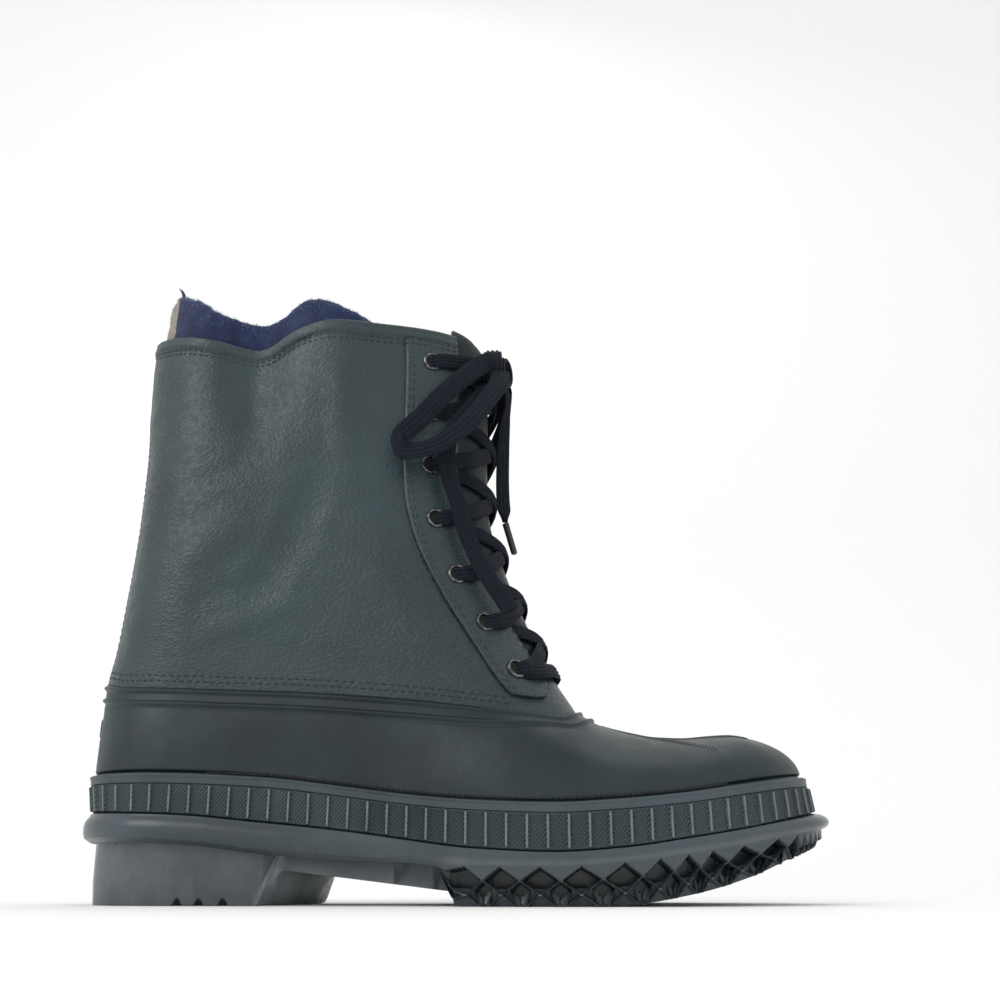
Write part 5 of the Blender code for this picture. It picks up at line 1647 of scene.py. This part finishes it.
def smooth_line(points, spacing=1.2 * MM):
    """Dense even points along a smooth curve through a route in millimetres."""
    knots = np.array(points, float) * MM
    knots = np.vstack([2 * knots[0] - knots[1], knots, 2 * knots[-1] - knots[-2]])
    line = []
    for a, b, c, d in zip(knots, knots[1:], knots[2:], knots[3:]):
        t = np.linspace(0, 1, 40, endpoint=False)[:, None]
        bend = 2 * b + (c - a) * t + (2 * a - 5 * b + 4 * c - d) * t * t + (3 * b - a - 3 * c + d) * t ** 3
        line.append(bend / 2)
    line = np.vstack(line + [knots[-2:-1]])
    run = run_along(line)
    count = max(2, round(run[-1] / spacing))
    spots = np.linspace(0, run[-1], count + 1)
    return read_along(spots, run, line), run[-1]


def steady(points, keys):
    """Face directions along a route, blended from (share, direction) keys."""
    run = run_along(points)
    share = run / run[-1]
    at = [k for k, _ in keys]
    ways = np.array([unit(np.array(w, float)) for _, w in keys])
    return unit(read_along(share, at, ways))


LOOP_LATERAL = (
    (15, -22, 250.3), (9, -27.5, 245), (1, -33, 236), (-9, -37.5, 224), (-18, -40.5, 212),
    (-25, -42.5, 204), (-29, -44, 198.5), (-25, -45, 193), (-15, -45, 194), (-5, -43.5, 200),
    (4, -40, 210), (11, -34.5, 222), (17, -28.5, 234), (18, -22.5, 244),
)
LOOP_MEDIAL = (
    (17.2, -5.9, 250), (19.5, 2.5, 248), (18.5, 11, 243), (14, 21, 237), (7, 29, 229), (-2, 35.5, 219),
    (-12, 40.5, 209), (-20, 43, 202), (-24, 44, 196.5), (-20, 44.5, 191), (-9, 43, 193),
    (1, 38.5, 200), (9, 32, 210), (15.5, 23, 222), (20, 12.5, 233), (22, 4, 240), (22.5, -3.5, 243.5),
)
END_LATERAL = (
    (14, -14.5, 241), (13.5, -20.5, 236.5), (8.5, -26.5, 229), (3, -32, 219), (-3, -35.5, 209),
    (-6.5, -36.5, 198), (-6, -36, 186), (-1.8, -35, 172), (3, -34, 156), (9, -34, 142.6),
    (15.5, -34.5, 131.6), (22.3, -35, 121),
)
END_MEDIAL = (
    (20, -12.5, 242.3), (21.5, -7, 235), (20.5, -1.5, 227), (19.5, 2, 215), (19, 3.5, 200),
    (19.2, 4, 187), (20.2, 4, 175),
)
AGLET = ((20.4, 4, 174.2), (24.8, 4, 158.5))
KNOT_CENTRE = (13.6, -13.0, 248.8)
OUT_LATERAL = (0.15, -1.0, 0.25)
OUT_MEDIAL = (0.25, 1.0, 0.15)
OUT_FRONT = (0.9, -0.35, 0.3)


def build_free_laces():
    cords = (
        ("bow_loop_lateral", "lace_loop_lateral", LOOP_LATERAL, "knot",
         ((0, (-0.1, -0.95, -0.35)), (0.42, (-0.1, -0.95, -0.35)), (0.47, (-0.8, -0.6, -0.1)),
          (0.53, (-0.4, -0.9, 0.2)), (0.6, (0.1, -1.0, 0.25)), (1, (0.2, -1.0, 0.2)))),
        ("bow_loop_medial", "lace_loop_medial", LOOP_MEDIAL, "knot",
         ((0, OUT_FRONT), (0.3, OUT_MEDIAL), (0.8, OUT_MEDIAL), (1, OUT_FRONT))),
        ("lace_tail_lateral", "lace_end_lateral", END_LATERAL, "bare",
         ((0, OUT_LATERAL), (1, (0.2, -1.0, 0.1)))),
        ("lace_tail_medial", "lace_end_medial", END_MEDIAL, "bare",
         ((0, OUT_FRONT), (0.5, (0.6, -0.75, 0.15)), (1, (0.5, -0.85, 0.1)))),
    )
    tip = build_aglet()
    for name, node, route, end, keys in cords:
        line, length = smooth_line(route)
        taper = 7 * MM if node == "lace_end_medial" else 0.0
        wide = LOOP_WIDTH if node == "lace_loop_lateral" else LACE_WIDTH
        item = lace_ribbon(name, line, steady(line, keys), wide, end_taper=taper)
        settle(item, "lace_cord", node)
        path, _ = smooth_line(route, 6 * MM)


def build_aglet():
    a, b = (np.array(p) * MM for p in AGLET)
    way = unit(b - a)
    side = unit(np.cross(way, (0.0, 1.0, 0.0)))
    other = np.cross(way, side)
    spin = 2 * np.pi * np.arange(24) / 24
    spoke = np.cos(spin)[:, None] * side + np.sin(spin)[:, None] * other
    profile = ((0, 0.4), (0.0, 1.0), (0.03, 1.06), (0.08, 1.0), (0.93, 0.98), (0.98, 0.85), (1, 0.3))
    rows = []
    for share, radius in profile:
        rows.append(lerp(a, b, share) + spoke * radius * 1.6 * MM)
    grid = np.stack(rows) + (LENGTH / 2, 0, 0)
    item = make_mesh("lace_aglet", grid, faces_of(grid, False), MATERIALS["tip"], angle=50)
    return settle(item, "lace_tip", "aglet")


def lace_through(keys):
    """Dense route on the leg's skin through (turn, level, out) keys, with its outward face."""
    keys = np.array(keys, float)
    points = leg_skin(keys[:, 0], keys[:, 1], keys[:, 2]) - (LENGTH / 2, 0, 0)
    line, _ = smooth_line(points / MM, 0.9 * MM)
    run = np.linspace(0, 1, len(line))
    at = run_along(points)
    turns = np.interp(run, at / at[-1], keys[:, 0])
    levels = np.interp(run, at / at[-1], keys[:, 1])
    return line, leg_normal(turns, levels)


def crossing_keys(side, low, high, over):
    """From the eyelet (side, low) out over the edge and up under the other eyestay."""
    front = EYESTAY_OUT
    turn, level = eyelet_place(side, low)
    _, level_far = eyelet_place(-side, high)
    near_edge = side * KNEE
    far_edge = side * (2 * np.pi - KNEE)
    far_in = side * (2 * np.pi - KNEE + 0.05)
    rise = level_far - level
    return (
        (turn, level, front - 1.2 * MM),
        (turn + (near_edge - turn) * 0.12, level, front + 0.6 * MM),
        (turn + (near_edge - turn) * 0.34, level + 0.02 * rise, front + 2.0 * MM),
        (turn + (near_edge - turn) * 0.70, level + 0.10 * rise, front + 1.3 * MM),
        (near_edge, level + 0.18 * rise, front + 0.7 * MM),
        (lerp(near_edge, far_edge, 0.16), level + 0.34 * rise, front - 0.1 * MM + 0.4 * over),
        (lerp(near_edge, far_edge, 0.50), level + 0.62 * rise, front - 0.4 * MM + over),
        (lerp(near_edge, far_edge, 0.80), level + 0.90 * rise, LEATHER_IN + 1.2 * MM),
        (far_edge, level + 1.0 * rise, LEATHER_IN - 0.1 * MM),
        (far_in, level + 1.02 * rise, LEATHER_IN - 0.6 * MM),
    )


def build_crossings():
    items = []
    front = EYESTAY_OUT
    last = EYELETS - 1
    turn, level = eyelet_place(-1, last)
    bar = []
    for share, out in ((0.0, -1.2), (0.05, 0.8), (0.12, 1.9), (0.24, 1.0), (0.5, 0.5), (0.76, 1.0),
                       (0.88, 1.9), (0.95, 0.8), (1.0, -1.2)):
        bar.append((turn + (-2 * np.pi - 2 * turn) * share, level - 0.006, front + out * MM))
    routes = [lace_through(bar)]
    for high in reversed(range(last)):
        for side, over in ((-1, 0.0), (1, 1.7 * MM)):
            routes.append(lace_through(crossing_keys(side, high + 1, high, over)))
    for number, (line, face) in enumerate(routes):
        items.append(lace_ribbon(f"crossing_{number}", line, face, CROSSING_WIDTH))
    knot = np.array(KNOT_CENTRE) * MM
    for side in (-1, 1):
        centre, _, _, out = eyelet_frame(side, 0)
        centre = centre - (LENGTH / 2, 0, 0)
        aim = knot + (0.0, side * 4.0 * MM, -1.0 * MM)
        way = unit(aim - centre)
        keys = (centre - out * 1.2 * MM, centre + way * 1.6 * MM + out * 0.8 * MM,
                centre + way * 5.5 * MM + out * 2.4 * MM, centre + way * 11 * MM + out * 2.6 * MM,
                lerp(centre, aim, 0.72) + out * 2.2 * MM, aim)
        line, _ = smooth_line(np.array(keys) / MM, 0.9 * MM)
        face = unit(out + np.linspace(0, 0.5, len(line))[:, None] * np.array((0.8, -0.4, 0.0)))
        items.append(lace_ribbon(f"top_lace_{side}", line, face, CROSSING_WIDTH))
    item = join(items, "lacing")
    return settle(item, "lace_cord", "lace_crossings")


def build_knot():
    """Centre of the bow: four bands wrapped over the roots of the loops."""
    spin = np.linspace(0, 2 * np.pi, 70)
    items = []
    wraps = (
        ((14.4, -15.6, 248.2), (1.5, 9.4, 7.6), 0.22, 9.0),
        ((9.8, -14.8, 246.6), (5.0, 7.2, 5.0), -0.5, 7.6),
        ((18.6, -12.2, 247.6), (4.2, 7.0, 5.6), 0.6, 7.6),
        ((14.4, -13.4, 248.0), (6.4, 0.0, 4.6), math.pi / 2, 9.5),
    )
    for centre, radii, tilt, width in wraps:
        ring = np.stack([radii[0] * np.sin(spin + tilt), radii[1] * np.cos(spin), radii[2] * np.sin(spin)], 1)
        turned = ring[:, 0] * math.cos(tilt) - ring[:, 2] * math.sin(tilt)
        ring[:, 2] = ring[:, 0] * math.sin(tilt) + ring[:, 2] * math.cos(tilt)
        ring[:, 0] = turned
        line = (np.array(centre) + ring) * MM
        items.append(lace_ribbon("wrap", line, unit(ring), width * MM, 2.4 * MM))
    item = join(items, "bow_knot")
    return settle(item, "lace_cord", "lace_knot")


# Stage, light and camera


PAPER_REACH = 3.0
CAMERA_PLACE = (0.0177, -0.4925, 0.00785)
CAMERA_TILT = math.radians(90 + 19.8)
CAMERA_LENS = 38.52


def soft_light(name, place, aim, size, power):
    data = bpy.data.lights.new(name, "AREA")
    data.shape = "RECTANGLE"
    data.size, data.size_y = size
    data.energy = power
    item = bpy.data.objects.new(name, data)
    item.location = place
    item.rotation_euler = (Vector(aim) - Vector(place)).to_track_quat("-Z", "Y").to_euler()
    bpy.context.scene.collection.objects.link(item)


def build_stage():
    paint = Shader("studio_paper", (0.90, 0.90, 0.89), 0.9, specular=0.1)
    bend = 0.5
    bend_steps = 12
    profile = [(-PAPER_REACH, 0.0), (bend, 0.0)]
    for k in range(1, bend_steps + 1):
        turn = math.pi / 2 * k / bend_steps
        profile.append((bend + bend * math.sin(turn), bend - bend * math.cos(turn)))
    profile.append((2 * bend, PAPER_REACH))
    points = []
    for y, z in profile:
        points += [(-PAPER_REACH, y, z), (PAPER_REACH, y, z)]
    faces = [(2 * i, 2 * i + 1, 2 * i + 3, 2 * i + 2) for i in range(len(profile) - 1)]
    mesh = bpy.data.meshes.new("studio_sweep")
    mesh.from_pydata(points, [], faces)
    mesh.shade_smooth()
    mesh.materials.append(paint.material)
    item = bpy.data.objects.new("studio_sweep", mesh)
    bpy.context.scene.collection.objects.link(item)
    world = bpy.data.worlds.new("studio")
    world.use_nodes = True
    world.node_tree.nodes["Background"].inputs["Color"].default_value = (1.0, 1.0, 1.0, 1.0)
    world.node_tree.nodes["Background"].inputs["Strength"].default_value = 0.92
    bpy.context.scene.world = world
    bpy.context.scene.view_settings.view_transform = "Standard"
    soft_light("key", (-1.0, -1.0, 0.9), (-0.04, 0, 0.12), (0.9, 0.8), 8)
    soft_light("fill", (1.2, -0.9, 0.6), (0, 0, 0.12), (0.8, 1.0), 0.8)
    soft_light("rim", (0.2, 0.3, 1.6), (0, 0, 0.15), (1.2, 0.6), 3)


def build_camera():
    data = bpy.data.cameras.new("photo_camera")
    data.sensor_width = 36.0
    data.sensor_height = 36.0
    data.sensor_fit = "HORIZONTAL"
    data.lens = CAMERA_LENS
    data.clip_start = 0.01
    item = bpy.data.objects.new("photo_camera", data)
    item.location = CAMERA_PLACE
    item.rotation_euler = (CAMERA_TILT, 0.0, 0.0)
    bpy.context.scene.collection.objects.link(item)
    bpy.context.scene.camera = item


build_stage()
build_camera()
build_upper()
build_studs()
build_rand()
build_teeth()
build_outsole()
build_shaft()
for side in (-1, 1):
    build_eyestay(side)
build_tongue()
build_liner()
build_insole()
build_eyelets()
sew_leg()
build_stitches()
build_crossings()
build_knot()
build_free_laces()
